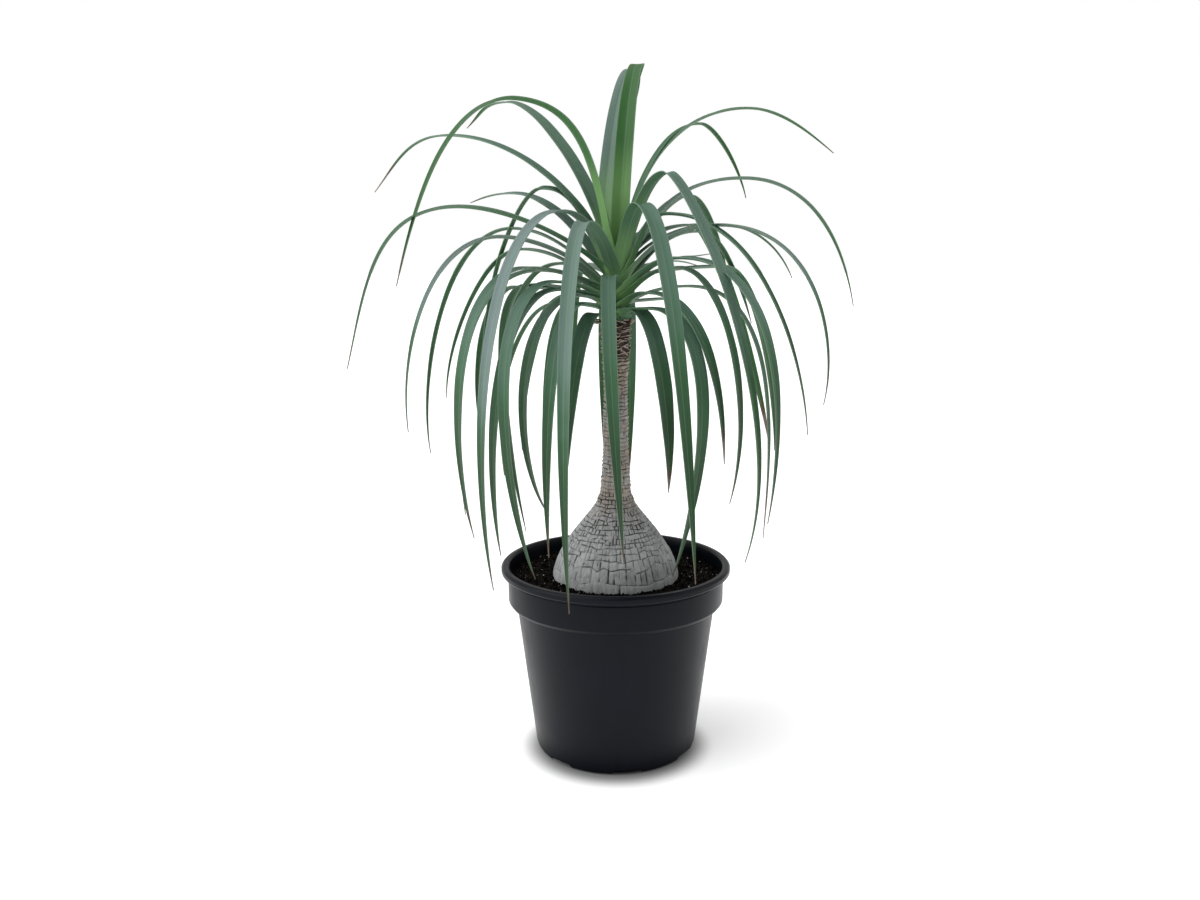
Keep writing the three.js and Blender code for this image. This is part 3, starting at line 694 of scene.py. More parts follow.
def carve(body, rows, half_width, shape):
    """Pushes a spun body in at the cracks. A shape function adds the rest of its form."""
    layers = [body.verts.layers.float.new(name) for name in ("groove", "plate", "warmth")]
    columns = {}
    for vert in body.verts:
        height, radius = vert.co.z / MM, vert.co.xy.length / MM
        if height < rows[0][0] - BELOW_ROWS or radius < CORE_RADIUS:
            continue
        turn = math.atan2(vert.co.y, vert.co.x) % math.tau
        key = round(turn, 4)
        if key not in columns:
            columns[key] = rows_at(rows, turn)
        column = columns[key]
        row = max(bisect.bisect([place[0] for place in column], height) - 1, 0)
        depth = groove_depth(column, row, height, turn, radius, half_width)
        pushed, warmth = shape(vert.co, height, radius, turn, depth, column, row)
        vert.co.xy *= pushed / radius
        tone = math.sin(row * 12.9898 + column[row][4] * 78.233) * 43758.5453 % 1
        for layer, value in zip(layers, (depth, tone, warmth)):
            vert[layer] = value


print("carving: near, groove_depth, carve")

# %% [markdown]
# The caudex is the swollen base. Its outline runs down into the soil, where it is a plain round.
# The widest cracks and the tallest plates are at its belly. Above it the rows close up, and where
# it narrows to the stem one ragged ring stands out.

# %% Caudex outline and rows
BURIED_LINE = [(0, TRUNK_BOTTOM), (30, 173), (58, 185)]
BULGE_LINE = [(73, 203), (CAUDEX_RADIUS, 216), (73, 233), (68, 246), (61.5, 257)]
NECK_LINE = [
    (61.5, 257), (52.5, 271), (39, 288), (28.5, 301), (21.5, 313), (17.9, 327), (16.6, 340),
]
JAGGED_LINES = [  # height, swing, openness, width of a plate
    (198, 3, 0.3, 9), (227, 4, 0.6, 9), (242, 4.5, 0.95, 8.5), (252, 3, 0.9, 7), (259, 2, 0.9, 6),
]
RAGGED_RING = 314
CAUDEX_STEPS = 510
CRACK_HALF_WIDTH = 0.7
height = 264.5
while height < 340:
    share = (height - 264) / 76
    openness = 1.4 if abs(height - RAGGED_RING - 1) < 2.2 else 0.9
    JAGGED_LINES.append((height, 1.2 - 0.4 * share, openness, 5.4 - 1.4 * share))
    height += 4.7 - 0.5 * share


def radius_on(points, height):
    """The radius of an outline at a height, between its nearest points."""
    for (inner, low), (outer, high) in zip(points, points[1:]):
        if low <= height <= high:
            return inner + (outer - inner) * (height - low) / (high - low)
    return points[-1][0]


print(len(JAGGED_LINES), "rows of cork plates")


# %% Caudex
def caudex_shape(place, height, radius, turn, depth, column, row):
    """The caudex: a slow swell, fine bumps, and one ragged ring where it narrows to the stem."""
    swell = 1.3 * noise.noise(place * 28) * min(1, radius / 60)
    fine = 0.3 * noise.noise(place * 320)
    ring = near(height - RAGGED_RING, 2.6) * (1.1 + 2.8 * noise.noise(Vector((turn * 9, 1, 1))))
    warmth = max(0, min(1, (height - 280) / 55 + 0.35 * noise.noise(place * 60)))
    return radius - 1.4 * depth + swell + fine + ring, warmth


def caudex_strengths(height):
    """How dark upright cracks are: a few are wide open low down, and all are fine higher up."""
    return (0.5, 0.8, 1, 1) if height < 256 else (0.5, 0.7, 0.9)


caudex_rows = plate_rows(
    JAGGED_LINES, caudex_strengths, lambda height: radius_on(BULGE_LINE + NECK_LINE[1:], height)
)
caudex_line = BURIED_LINE + smooth_line(BULGE_LINE, 0.8) + smooth_line(NECK_LINE, 0.8)[1:]
caudex_body = spun(caudex_line, CAUDEX_STEPS)
carve(caudex_body, caudex_rows, CRACK_HALF_WIDTH, caudex_shape)
piece("corky_base", caudex_body, "bark", "trunk", bark)

# %% [markdown]
# The stem is the same bark on a thin post. Every fallen leaf leaves a ring, so the rows are short
# and each one bulges a little. Towards the crown the rings are newer, browner and more ragged.

# %% Stem
STEM_LINE = [
    (0, 318), (14, 318), (18, 326), (16.9, 345), (15.6, 365), (15.2, 388), (15.3, 410), (14.2, 435),
    (14.3, 468), (15.6, TRUNK_TOP - 2), (15.2, TRUNK_TOP), (0, TRUNK_TOP),
]
STEM_STEPS = 150
STEM_RING_STEP = 4.6
RING_HALF_WIDTH = 0.75
DARK_RINGS = (328, 389, 414, 422.5, 430)  # the heights of the wide open rings
stem_lines = []
height = 322
while height < TRUNK_TOP + 4:
    is_dark = any(abs(height - ring) < STEM_RING_STEP / 2 for ring in DARK_RINGS)
    ragged = max(0, min(1, (height - 430) / 40))
    openness = 1.5 if is_dark else draw.uniform(0.65, 1.05) + 0.35 * ragged
    stem_lines.append((height, 0.8 + 0.5 * ragged, openness, 4.5))
    height += STEM_RING_STEP * draw.uniform(0.8, 1.2)


def stem_shape(place, height, radius, turn, depth, column, row):
    """The stem: each ring bulges, and its upper edge stands out more near the crown."""
    start = column[row][0]
    end = column[row + 1][0] if row + 1 < len(column) else start + STEM_RING_STEP
    share = max(0, min(1, (height - start) / (end - start)))
    ragged = max(0, min(1, (height - 435) / 40))
    uneven = 0.7 + 0.9 * noise.noise(Vector((turn * 5, start * 0.7, 2)))
    bulge = (1.0 * math.sin(math.pi * share) + 1.5 * ragged * share) * uneven
    fine = 0.4 * noise.noise(place * 380)
    warmth = max(0, min(1, 0.55 + 0.45 * ragged + 0.4 * noise.noise(place * 70)))
    return radius - 0.4 - (1.0 + 0.5 * ragged) * depth + bulge + fine, warmth


stem_body = spun(smooth_line(STEM_LINE, 0.7), STEM_STEPS)
stem_rows = plate_rows(stem_lines, lambda height: (0.2, 0.4, 0.7), lambda height: 15)
carve(stem_body, stem_rows, RING_HALF_WIDTH, stem_shape)
piece("ringed_stem", stem_body, "bark", "trunk", bark)

# %% [markdown]
# ## The stubs of old leaves
#
# Under the crown the stem still carries the torn bases of dead leaves. They overlap like shingles
# put on upside down: dark brown scales that wrap round the stem and bend outwards, each with a pale
# torn edge. One scale is a small grid, laid round the stem as it is bent. A loop sets a row of them
# at each height, each a little different, and a few withered strips stand out at the top. Every
# vertex carries how near it is to the torn edge.

# %% Stub finish
dry = Finish("dry_leaf", Roughness=0.85, Specular_IOR_Level=0.25)
spot = dry.place()
torn = dry.mark("torn")
fibre = dry.noise(dry.stretched(spot, (1, 1, 0.15)), 600.0, detail=4.0)
patch = dry.noise(spot, 110.0)
dry_tone = dry.mix(patch.ramp(0.35, 0.65), (0.026, 0.017, 0.013), (0.115, 0.078, 0.06))
dry_tone = dry.mix(fibre.ramp(0.52, 0.72) * 0.4, dry_tone, (0.19, 0.135, 0.105))
dry.feed(Base_Color=dry.mix(torn.ramp(0.45, 0.9) * 0.9, dry_tone, (0.46, 0.37, 0.32)))
dry.bump(fibre, 0.7, 0.0012)
print(dry)

# %% One stub
SCALE_COLUMNS, SCALE_ROWS = 6, 4


def add_scale(body, turn, height, root_radius, wide, long, splay, thickness):
    """One torn leaf base that wraps round the stem and bends outwards."""
    made = bmesh.ops.create_grid(
        body, x_segments=SCALE_COLUMNS, y_segments=SCALE_ROWS, size=0.5
    )["verts"]
    slant = draw.uniform(-0.45, 0.45)
    torn_layer = body.verts.layers.float["torn"]
    notches = [draw.uniform(-0.12, 0.12) for _ in range(SCALE_COLUMNS + 1)]
    for vert in made:
        across, along = vert.co.x * 2, vert.co.y + 0.5
        column = round((across + 1) * SCALE_COLUMNS / 2)
        length = long * along * (1 + (slant * across + notches[column]) * along)
        side = wide / 2 * across * (1 - 0.2 * along * along)
        bent = splay * along
        out = root_radius + length * math.sin(bent) - 0.15 * side * side / root_radius
        around = turn + side / root_radius
        lift = length * math.cos(bent)
        vert.co = Vector((out * math.cos(around), out * math.sin(around), height + lift)) * MM
        vert[torn_layer] = along**3
    faces = list({face for vert in made for face in vert.link_faces})
    bmesh.ops.solidify(body, geom=faces + made, thickness=thickness * MM)


print("a stub has", SCALE_COLUMNS * SCALE_ROWS, "faces on each side")

# %% Stubs
STUB_ROWS = 13
SCALES_IN_ROW = 9
WITHERED_STRIPS = 9
STUB_CORE_STEPS = 48
stub_core = [(0, STUB_BOTTOM), (14.6, STUB_BOTTOM), (15.4, 500), (16.2, STUB_TOP), (0, STUB_TOP)]
stub_body = spun(stub_core, STUB_CORE_STEPS)
stub_body.verts.layers.float.new("torn")
for row in range(STUB_ROWS):
    share = row / (STUB_ROWS - 1)
    height = STUB_BOTTOM - 2 + share * (STUB_TOP - STUB_BOTTOM + 3)
    for i in range(SCALES_IN_ROW):
        turn = math.tau * (i + 0.5 * (row % 2) + draw.uniform(-0.25, 0.25)) / SCALES_IN_ROW
        add_scale(
            stub_body, turn, height + draw.uniform(-1, 1), 14.4 + 1.2 * share, draw.uniform(8, 13),
            draw.uniform(4.5, 6.5), math.radians(draw.uniform(14, 38) + 16 * share), 0.7,
        )
for i in range(WITHERED_STRIPS):
    add_scale(
        stub_body, math.tau * (i + draw.uniform(-0.3, 0.3)) / WITHERED_STRIPS,
        STUB_TOP - draw.uniform(2, 7), 14.5, draw.uniform(1.5, 3.5), draw.uniform(10, 17),
        math.radians(draw.uniform(35, 85)), 0.6,
    )
stubs = piece("old_leaf_stubs", stub_body, "dry_leaf", "dry_leaf_bases", dry)
stubs.data.set_sharp_from_angle(angle=math.radians(35))

# %% [markdown]
# ## The leaves
#
# A leaf rises from the stem, turns over at a crest and hangs. Seen from above it grows in one
# direction, so its middle line is two smooth curves in an upright plane: one from the root to the
# crest, one from the crest to the tip. The numbers are the same driving sizes as those of the
# measured solids: direction in degrees; height of the root; how straight it rises; crest out and
# up; how widely it turns over; how long its end hangs; tip out and up; slant of the end in degrees;
# share of the full width; how far the end swings sideways; and how far the root is shifted. The
# last number is the leaf's bloom: how much blue-grey wax it carries, which in the finish also sets
# how much painted sheen the leaf gets and how late its painted shade begins past the crest.

# %% Leaf sizes
LEAF_WIDTH = 19
LEAF_THICKNESS = 1.0
ROOT_RADIUS = 6
YOUNG_LEAVES = [
    (63.5, 590, 0.45, 95, 826, 40, 60, 165, 730, 20, 1.1, 57, 23.5, 0.9),
    (74, 595, 0.45, 92, 830, 35, 60, 160, 735, 20, 1.12, 60, -2, 0.1),
]
LEFT_LEAVES = [
    (205, 590, 0.72, 123, 771, 78, 77, 259, 571, 15, 1, 0, 0, 0.15),
    (140, 595, 0.31, 180, 790, 42, 35, 250, 764, 60, 1, 0, 0, 0.8),
    (160, 585, 0.45, 222, 746, 51, 40, 322, 681, 45, 0.9, 0, 0, 0.7),
    (203, 575, 0.32, 185, 656, 95, 85, 313, 484, 15, 1, 0, 0, 0.3),
    (150, 570, 0.4, 150, 678, 25, 20, 210, 668, 75, 0.95, 0, 0, 0.75),
    (165, 575, 0.55, 90, 681, 28, 150, 168, 408, -4, 1, 0, 0, 0.1),
    (232, 570, 0.55, 98, 651, 100, 200, 213, 251, -12, 0.82, 0, 0, 0.95),
    (205, 560, 0.35, 142, 624, 78, 95, 252, 412, -5, 1, 0, 0, 0.9),
    (165, 560, 0.35, 126, 635, 93, 85, 243, 356, -10, 0.8, 0, 0, 0.25),
    (165, 555, 0.35, 115, 611, 50, 65, 219, 428, 0, 0.85, 0, 0, 0.3),
    (216, 555, 0.35, 120, 590, 85, 140, 195, 294, -15, 1, 0, 0, 0.5),
    (208, 550, 0.35, 95, 587, 115, 90, 193, 315, -5, 0.95, 0, 0, 0.4),
    (160, 555, 0.4, 68, 594, 75, 115, 150, 330, -5, 1, 0, 0, 0.5),
    (218, 545, 0.35, 80, 566, 90, 115, 165, 270, -10, 1, 0, 0, 0.4),
    (214, 540, 0.35, 50, 558, 88, 90, 94, 304, -35, 0.95, 0, 0, 0.3),
    (165, 538, 0.35, 70, 548, 45, 60, 150, 400, 5, 0.8, 0, 0, 0.3),
    (150, 545, 0.35, 120, 568, 68, 136, 134, 253, -14, 1, 0, 0, 0.3),
    (226, 545, 0.35, 95, 575, 118, 100, 132, 240, -25, 0.95, 0, 0, 0.5),
    (240, 540, 0.35, 80, 550, 69, 99, 148, 276, -5, 0.8, 0, 0, 0.4),
]
FRONT_LEAVES = [
    (254.5, 575, 0.25, 132, 638, 60, 220, 195, 232, -10, 0.82, 0, 3, 0.8),
    (235, 530, 0.35, 42, 537, 35, 60, 100, 340, 0, 1.1, 0, 0, 0.3),
    (266, 560, 0.5, 105, 582, 60, 120, 160, 280, -5, 0.8, 20, 0, 0.35),
]
RIGHT_LEAVES = [
    (15, 592, 0.6, 163, 773, 41, 37, 273, 725, 55, 0.85, 0, 0, 0.6),
    (25, 590, 0.5, 110, 756, 22, 35, 176, 672, 15, 0.75, 0, 0, 0.5),
    (315, 580, 0.4, 80, 693, 28, 190, 200, 274, -20, 0.95, 0, 0, 0.75),
    (292, 575, 0.3, 71, 659, 72, 190, 221, 270, 8, 0.96, 0, 0, 0.55),
    (17, 575, 0.6, 160, 694, 105, 55, 314, 540, 12, 0.9, 0, 0, 0.8),
    (344, 568, 0.5, 123, 637, 109, 72, 245, 437, -12, 0.95, 0, 0, 0.8),
    (338, 568, 0.6, 64, 650, 100, 106, 232, 406, 5, 1, 0, 0, 0.3),
    (30, 560, 0.45, 115, 632, 40, 35, 200, 518, 20, 0.8, 0, 0, 0.5),
    (320, 555, 0.4, 95, 601, 137, 111, 216, 317, -10, 1, 0, 0, 0.6),
    (330, 550, 0.4, 80, 590, 62, 120, 151, 324, -15, 0.95, 0, 0, 0.2),
    (340, 545, 0.4, 90, 569, 115, 80, 183, 280, -3, 0.9, 0, 0, 0.4),
    (310, 540, 0.4, 58, 562, 75, 113, 182, 383, 3, 0.95, 0, 0, 0.5),
    (312, 530, 0.4, 32, 542, 46, 60, 91, 335, -5, 1.25, 0, 0, 0.3),
    (305, 535, 0.4, 70, 545, 135, 125, 114, 243, -25, 0.95, 0, 0, 0.4),
    (55, 572, 0.2, 170, 602, 20, 12, 224, 605, 90, 0.5, 0, 0, 0.6),
    (60, 580, 0.3, 150, 596, 30, 10, 228, 588, 80, 0.5, 0, 0, 0.6),
    (20, 575, 0.5, 130, 640, 60, 30, 234, 575, 25, 0.6, 0, 0, 0.5),
]
BACK_LEAVES = [
    (50, 575, 0.25, 142, 676, 35, 60, 240, 540, 10, 0.85, 0, 0, 0.6),
    (107, 575, 0.4, 155, 592, 50, 120, 222, 340, 0, 1, 0, 0, 0.3),
    (80, 535, 0.4, 80, 555, 25, 100, 105, 326, -3, 0.9, 0, 0, 0.7),
    (65, 578, 0.5, 108, 632, 48, 100, 230, 370, 8, 0.95, 0, 0, 0.4),
    (40, 580, 0.5, 125, 640, 40, 90, 278, 339, 12, 0.95, 0, 0, 0.5),
    (30, 570, 0.45, 150, 590, 60, 80, 243, 349, 0, 0.95, 0, 0, 0.4),
    (140, 548, 0.35, 70, 556, 60, 80, 160, 353, 0, 0.95, 0, 0, 0.3),
    (150, 555, 0.35, 140, 565, 55, 80, 199, 364, -15, 0.9, 0, 0, 0.4),
    (125, 540, 0.35, 85, 545, 70, 100, 164, 279, 0, 0.9, 0, 0, 0.3),
    (52, 548, 0.35, 100, 550, 50, 80, 199, 357, 4, 0.9, 0, 0, 0.3),
    (90, 568, 0.45, 120, 600, 60, 120, 190, 300, 0, 1, 0, 0, 0.4),
    (96, 545, 0.35, 85, 552, 50, 100, 142, 330, 0, 1, 0, 0, 0.2),
    (85, 572, 0.5, 130, 640, 75, 120, 212, 310, 0, 1, 0, 0, 0.3),
]
LEAVES = {
    "young_leaves": YOUNG_LEAVES, "left_leaves": LEFT_LEAVES, "front_leaves": FRONT_LEAVES,
    "right_leaves": RIGHT_LEAVES, "back_leaves": BACK_LEAVES,
}
print(sum(map(len, LEAVES.values())), "leaves")

# %% [markdown]
# A living leaf is deep green under a blue-grey wax bloom. The bloom is thick as far as the crest
# and wears off towards the hanging end. Its pale tone at the crest is also a painted sheen where
# the leaf faces the sky, and the darker green of the hanging end is partly painted shade under
# the crown. Both faces have veins that run from end to end, a pale middle line that is partly a
# painted highlight along its crease, a pale margin, a wide light green base that is partly painted
# light shining through it, and a tip that has dried to reddish brown. The pattern follows the leaf,
# so it reads the leaf's own map: across it and along it. Each vertex also carries how young its
# leaf is, how much bloom it has, how far past the crest it lies and how much of its end has dried.
# Light shines through a leaf from behind, so each face is given a faint painted glow of its own
# tone, and the lower face the more of it.


# %% Leaf finishes
# The pale middle and the pale base are partly painted light: a highlight along the crease, and
# light shining through the foot.
PALE_MIDDLE_AND_HIGHLIGHT = (0.2, 0.32, 0.19)
PALE_MARGIN = (0.23, 0.33, 0.24)
PALE_BASE_AND_GLOW = (0.21, 0.4, 0.14)
DRIED = (0.085, 0.045, 0.03)
WITHERED = (0.2, 0.155, 0.13)


def leaf_finish(name, frosty, waxy, green, deep_and_shaded, young, roughness, glow):
    """A leaf's skin on one face, from its tones under much wax, under some wax and bare; the wax
    tones are also painted sheen, and the deep tone painted shade.
    """
    skin = Finish(name, Specular_IOR_Level=0.2, Emission_Strength=glow)
    chart = skin.add("UVMap", {"uv_map": "leaf"})
    across, along, _ = skin.parts(chart)
    youth, bloom, past_crest = skin.mark("youth"), skin.mark("bloom"), skin.mark("past_crest")
    dryness = skin.mark("dryness")
    veins = skin.noise(skin.stretched(chart, (15, 1.3, 1)), 1.0, detail=3.0)
    bands = skin.noise(skin.stretched(chart, (4, 0.7, 1)), 1.0, detail=2.0)
    cloud = skin.noise(skin.place(), 14.0, detail=3.0)
    drift = (cloud - 0.5) * 0.25
    # Past the crest the wax wears off and the tone turns deep green: partly real wear, partly
    # painted shade under the crown.
    wear_and_painted_shade = (past_crest - bloom * 0.4 + drift + (bands - 0.5) * 0.3).ramp(0.04, 0.28)
    # The wax tone is also a painted sheen where the leaf faces the sky.
    wax_and_painted_sheen = (bloom * 0.7 + 0.3 + drift) * (1 - wear_and_painted_shade * 0.95)
    tone = skin.mix((past_crest - bloom * 0.2 + drift).ramp(0.2, 0.7), green, deep_and_shaded)
    tone = skin.mix(wax_and_painted_sheen, tone, skin.mix(bloom.ramp(0.6, 1.0), waxy, frosty))
    tone = skin.mix(youth * (1 - bloom * 0.75), tone, young)
    streaks = (veins * 0.5 + bands * 0.5).ramp(0.42, 0.66)
    tone = skin.mix(streaks * 0.38, tone, green)
    off_middle = abs(across - 0.5)
    # A pale middle line, partly a painted highlight along the crease.
    tone = skin.mix((1 - off_middle.ramp(0.0, 0.07)) * (1 - veins) * 0.45, tone, PALE_MIDDLE_AND_HIGHLIGHT)
    tone = skin.mix(off_middle.ramp(0.455, 0.49) * 0.35, tone, PALE_MARGIN)
    # A pale foot, partly painted light shining through the leaf.
    base = 1 - (along + (veins - 0.5) * 0.05 - youth * 0.1).ramp(0.01, 0.13)
    tone = skin.mix(base * 0.6, tone, PALE_BASE_AND_GLOW)
    dry_end = along + (veins - 0.5) * 0.05 + dryness
    tone = skin.mix(dry_end.ramp(0.955, 1.0) * 0.85, tone, DRIED)
    tone = skin.mix(dry_end.ramp(0.99, 1.01) * 0.7, tone, WITHERED)
    # The emission of the leaf's own tone is a painted glow for light shining through.
    skin.feed(Base_Color=tone, Emission_Color=tone, Roughness=roughness + veins * 0.12)
    skin.bump(veins, 0.12, 0.0004)
    print(skin)
    return skin


upper = leaf_finish(
    "leaf_upper", (0.17, 0.225, 0.222), (0.12, 0.195, 0.163), (0.044, 0.12, 0.055),
    (0.016, 0.044, 0.017), (0.028, 0.105, 0.018), 0.4, 0.03,
)
lower = leaf_finish(
    "leaf_under", (0.09, 0.145, 0.11), (0.068, 0.135, 0.08), (0.042, 0.12, 0.048),
    (0.026, 0.075, 0.027), (0.03, 0.12, 0.02), 0.45, 0.12,
)


# %% [markdown]
# One leaf is a flat grid that is laid along the middle line: its short side goes across the leaf
# and its long side along it. The cross-section is a shallow channel with a rounded keel, and at the
# root it widens and clasps the stem. On the two upright leaves the channel spreads flat where they
# turn over, so that their tops have no notch. The leaves that arch highest at the back left roll a
# little round their own length, so that their bloomy upper face shows from the front. Solidify then
# gives all the leaves of a piece their thickness, with the second material on the lower face.

# %% Middle line of a leaf
UPRIGHT_ROOT = 598  # a leaf rooted here leaves the stem upright, lower ones slant
LEAST_SLANT, MOST_SLANT = 5, 55
LINE_POINTS = 300
STEP_LENGTH, STEP_BEND = 70, 0.45  # the length and the bend that count alike in spacing the points


def middle_line(row):
    """The middle line of a leaf as points (out, up), and its part before the crest."""
    _, root, bow, crest_out, crest_up, over, hang, tip_out, tip_up, lean = row[:10]
    start = math.radians(min(max(UPRIGHT_ROOT - root, LEAST_SLANT), MOST_SLANT))
    slant = math.radians(lean)
    climb = bow * (crest_up - root) / math.cos(start)
    level = (0.25 + 0.5 * bow) * (crest_out - ROOT_RADIUS)
    crest = Vector((crest_out, crest_up))
    tip = Vector((tip_out, tip_up))
    foot = Vector((ROOT_RADIUS, root))
    heading = Vector((math.sin(start), math.cos(start))) * climb
    into_crest = crest - Vector((level, 0))
    rise = interpolate_bezier(foot, foot + heading, into_crest, crest, LINE_POINTS)
    drop = Vector((-math.sin(slant), math.cos(slant))) * hang
    fall = interpolate_bezier(crest, crest + Vector((over, 0)), tip + drop, tip, LINE_POINTS)
    return [Vector(spot[:2]) for spot in rise + fall[1:]], rise


def even_line(points, steps):
    """Points along a line, closer together where it bends, each with its share of the length."""
    length, effort = [0.0], [0.0]
    for i in range(1, len(points)):
        step = (points[i] - points[i - 1]).length
        bend = 0.0
        if i > 1:
            bend = abs((points[i] - points[i - 1]).angle_signed(points[i - 1] - points[i - 2], 0))
        length.append(length[-1] + step)
        effort.append(effort[-1] + step / STEP_LENGTH + bend / STEP_BEND)
    line = []
    i = 1
    for step in range(steps + 1):
        wanted = effort[-1] * step / steps
        while i < len(points) - 1 and effort[i] < wanted:
            i += 1
        share = (wanted - effort[i - 1]) / (effort[i] - effort[i - 1])
        spot = points[i - 1].lerp(points[i], share)
        heading = (points[i] - points[i - 1]).normalized()
        reached = length[i - 1] + (length[i] - length[i - 1]) * share
        line.append((spot, heading, reached / length[-1]))
    return line


print("the first leaf's middle line has", len(middle_line(YOUNG_LEAVES[0])[0]), "points")

# %% One leaf
ACROSS, ALONG = 8, 150  # the faces of a leaf's grid
CLASPED = 0.09  # the share of a leaf's length that clasps the stem
SHIFTED, ROLLED = 0.12, 0.15  # the shares at which the shift and the roll to the front are whole
TAPERS_FROM, TAPERS_OVER = 0.32, 0.68
NARROWEST = 0.25
CHANNEL, CLASPING_CHANNEL = 0.32, 0.5  # depths as shares of half the width
MOST_TWIST = 14
ROLL_TO_FRONT = -10
UPRIGHT_CREST = 800  # only the two upright leaves have a higher crest
MOST_DRIED = 0.08
YOUNG_FROM, YOUNG_OVER = 572, 24  # heights of the root
LEAF_LAYERS = ("youth", "bloom", "past_crest", "dryness")


def youth_of(row):
    """A leaf is the younger the higher its root is."""
    return min(max((row[1] - YOUNG_FROM) / YOUNG_OVER, 0), 1)


def leaf_half_width(share, wide):
    """Half the width of a leaf at a share of its length."""
    taper = min(max((share - TAPERS_FROM) / TAPERS_OVER, 0), 1)
    root = 0.85 + 0.15 * min(share / 0.1, 1)
    return max(wide * LEAF_WIDTH / 2 * root * (1 - taper * taper), NARROWEST)


def add_leaf(body, row):
    """Lays one grid along a leaf's middle line."""
    turn, crest_up, wide, sway, shift, bloom = math.radians(row[0]), row[4], *row[10:]
    youth = youth_of(row)
    points, rise = middle_line(row)
    line = even_line(points, ALONG)
    rise_length = sum((b - a).length for a, b in zip(rise, rise[1:]))
    crest_share = rise_length / sum((b - a).length for a, b in zip(points, points[1:]))
    outward = Vector((math.cos(turn), math.sin(turn), 0))
    sideward = Vector((-math.sin(turn), math.cos(turn), 0))
    upward = Vector((0, 0, 1))
    twist = math.radians(draw.uniform(-MOST_TWIST, MOST_TWIST))
    high_at_back_left = 120 < row[0] < 180 and crest_up > 660
    to_front = math.radians(ROLL_TO_FRONT) if high_at_back_left else 0
    upright = crest_up > UPRIGHT_CREST
    phase = draw.uniform(0, 100)
    dryness = MOST_DRIED * draw.random() ** 4
    layers = body.verts.layers.float
    made = bmesh.ops.create_grid(
        body, x_segments=ACROSS, y_segments=ALONG, size=0.5, calc_uvs=True
    )["verts"]
    for vert in made:
        across = -2 * vert.co.x
        spot, heading, share = line[round((vert.co.y + 0.5) * ALONG)]
        swung = min(max((share - crest_share) / (1 - crest_share), 0), 1)
        aside = sway * swung**1.2 + shift * min(share / SHIFTED, 1)
        roll = twist * swung + to_front * min(share / ROLLED, 1) * max(0, 1 - 1.5 * swung)
        face = outward * -heading.y + upward * heading.x
        lateral = sideward * math.cos(roll) + face * math.sin(roll)
        face = face * math.cos(roll) - sideward * math.sin(roll)
        clasp = max(0, 1 - share / CLASPED)
        half = leaf_half_width(share, wide) * (1 + 0.45 * clasp)
        wave = 0.06 * half * noise.noise(Vector((share * 9, across * 0.8, phase)))
        spread_flat = 0.85 * near(share - crest_share, 0.1) if upright else 0
        depth = (CHANNEL + CLASPING_CHANNEL * clasp) * half * (1 - spread_flat)
        channel = depth * (math.sqrt(across * across + 0.01) - 0.5) + wave
        middle = outward * spot.x + upward * spot.y + sideward * aside
        vert.co = (middle + lateral * across * half + face * channel) * MM
        for layer, value in zip(LEAF_LAYERS, (youth, bloom, swung, dryness)):
            vert[layers[layer]] = value


print("a leaf has", ACROSS * ALONG, "faces on each side")


# %% All leaves
def leaf_piece(name, rows):
    """Several leaves as one piece."""
    body = bmesh.new()
    body.loops.layers.uv.new("leaf")
    for layer in LEAF_LAYERS:
        body.verts.layers.float.new(layer)
    for row in rows:
        add_leaf(body, row)
    made = piece(name, body, "leaf", "leaf_crown", upper, lower)
    thick = made.modifiers.new("thickness", "SOLIDIFY")
    thick.thickness = LEAF_THICKNESS * MM
    thick.offset = -1
    thick.material_offset = 1
    set_modifiers_in(made)
    made.data.set_sharp_from_angle(angle=math.radians(50))


for name, rows in LEAVES.items():
    leaf_piece(name, rows)

# %% [markdown]
# The growing tip that the leaves stand on hardly shows between them. It is a short tapered green
# core, made of the same skin, inside rings of broad sheaths. A sheath is the clasping foot of a
# leaf: a small bent grid round the stem, whose map is set to the pale foot of the leaf's own map.

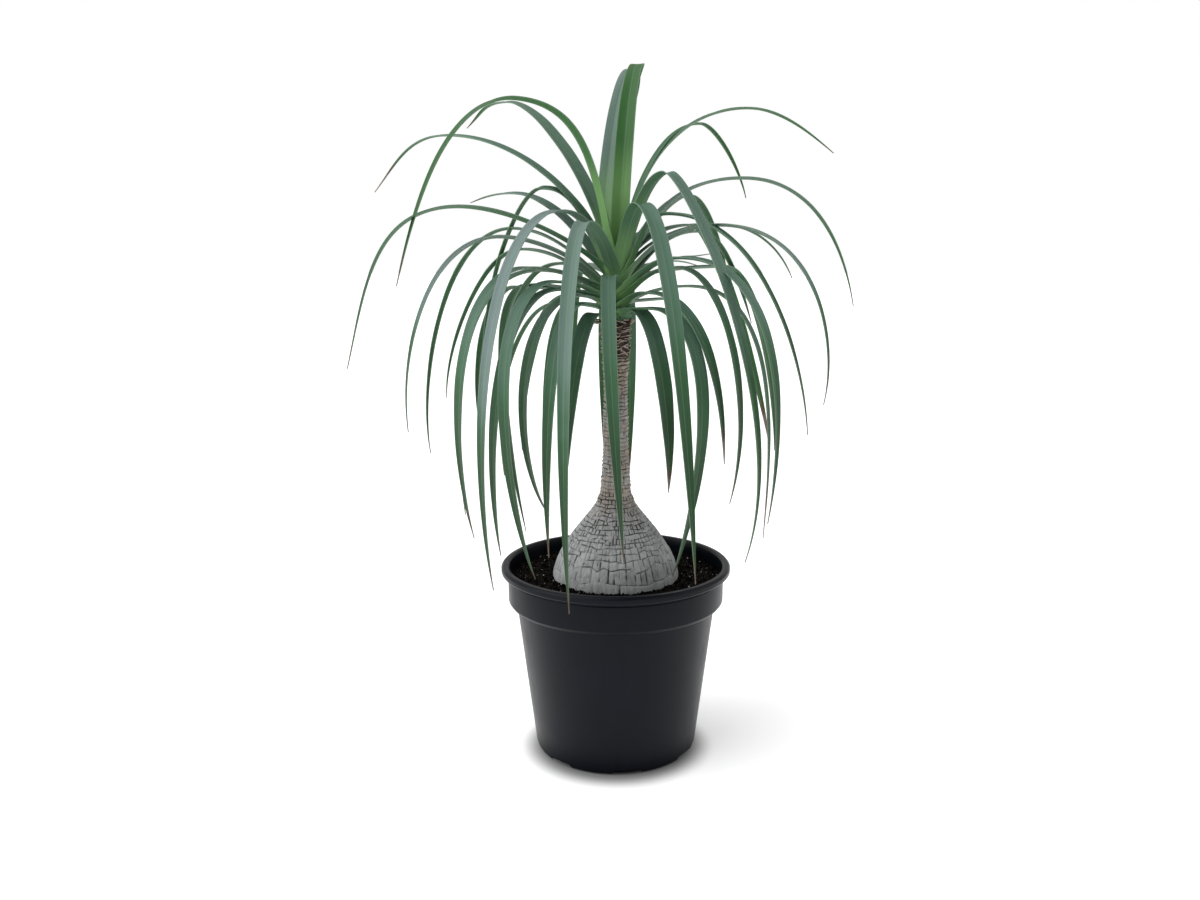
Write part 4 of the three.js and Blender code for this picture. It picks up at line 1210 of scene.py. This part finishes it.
# %% One sheath
SHEATH_THICKNESS = 0.9


def add_sheath(body, turn, height, foot_radius, wide, tall, splay):
    """The broad foot of a leaf, wrapped round the stem and leaning out at its top."""
    made = bmesh.ops.create_grid(
        body, x_segments=8, y_segments=6, size=0.5, calc_uvs=True
    )["verts"]
    chart = body.loops.layers.uv["leaf"]
    faces = list({face for vert in made for face in vert.link_faces})
    for corner in [corner for face in faces for corner in face.loops]:
        corner[chart].uv.y = 0.09 + 0.07 * corner[chart].uv.y
    for vert in made:
        across, along = vert.co.x * 2, vert.co.y + 0.5
        bent = splay * along
        side = wide / 2 * across * (1 - 0.35 * along)
        out = foot_radius + tall * along * math.sin(bent) + 1.6 * across * across * along
        around = turn + side / (foot_radius + 2)
        lift = tall * along * math.cos(bent)
        vert.co = Vector((out * math.cos(around), out * math.sin(around), height + lift)) * MM
    bmesh.ops.solidify(body, geom=faces + made, thickness=SHEATH_THICKNESS * MM)


print("a sheath is", SHEATH_THICKNESS, "mm thick")

# %% Growing tip
TIP_FOOT = 525
TIP_STEPS = 32
SHEATHS_IN_RING = 7
SHEATH_RINGS = [(TIP_FOOT, 15), (530, 14.4), (536, 13.4), (543, 12.2)]  # height and radius
CORE_LINE = [(0, CROWN_TOP - 228), (6, CROWN_TOP - 236), (9, 570), (12, 545), (14.6, TIP_FOOT)]
tip_body = spun(smooth_line(CORE_LINE, 3) + [(0, TIP_FOOT)], TIP_STEPS)
tip_body.loops.layers.uv.new("leaf")
for ring, (height, foot_radius) in enumerate(SHEATH_RINGS):
    for i in range(SHEATHS_IN_RING):
        turn = math.tau * (i + 0.5 * (ring % 2) + draw.uniform(-0.15, 0.15)) / SHEATHS_IN_RING
        add_sheath(
            tip_body, turn, height + draw.uniform(-1, 1), foot_radius, draw.uniform(15, 19),
            draw.uniform(11, 16), math.radians(draw.uniform(14, 34)),
        )
growing_tip = piece("growing_tip", tip_body, "leaf", "leaf_crown", lower)
growing_tip.data.set_sharp_from_angle(angle=math.radians(50))
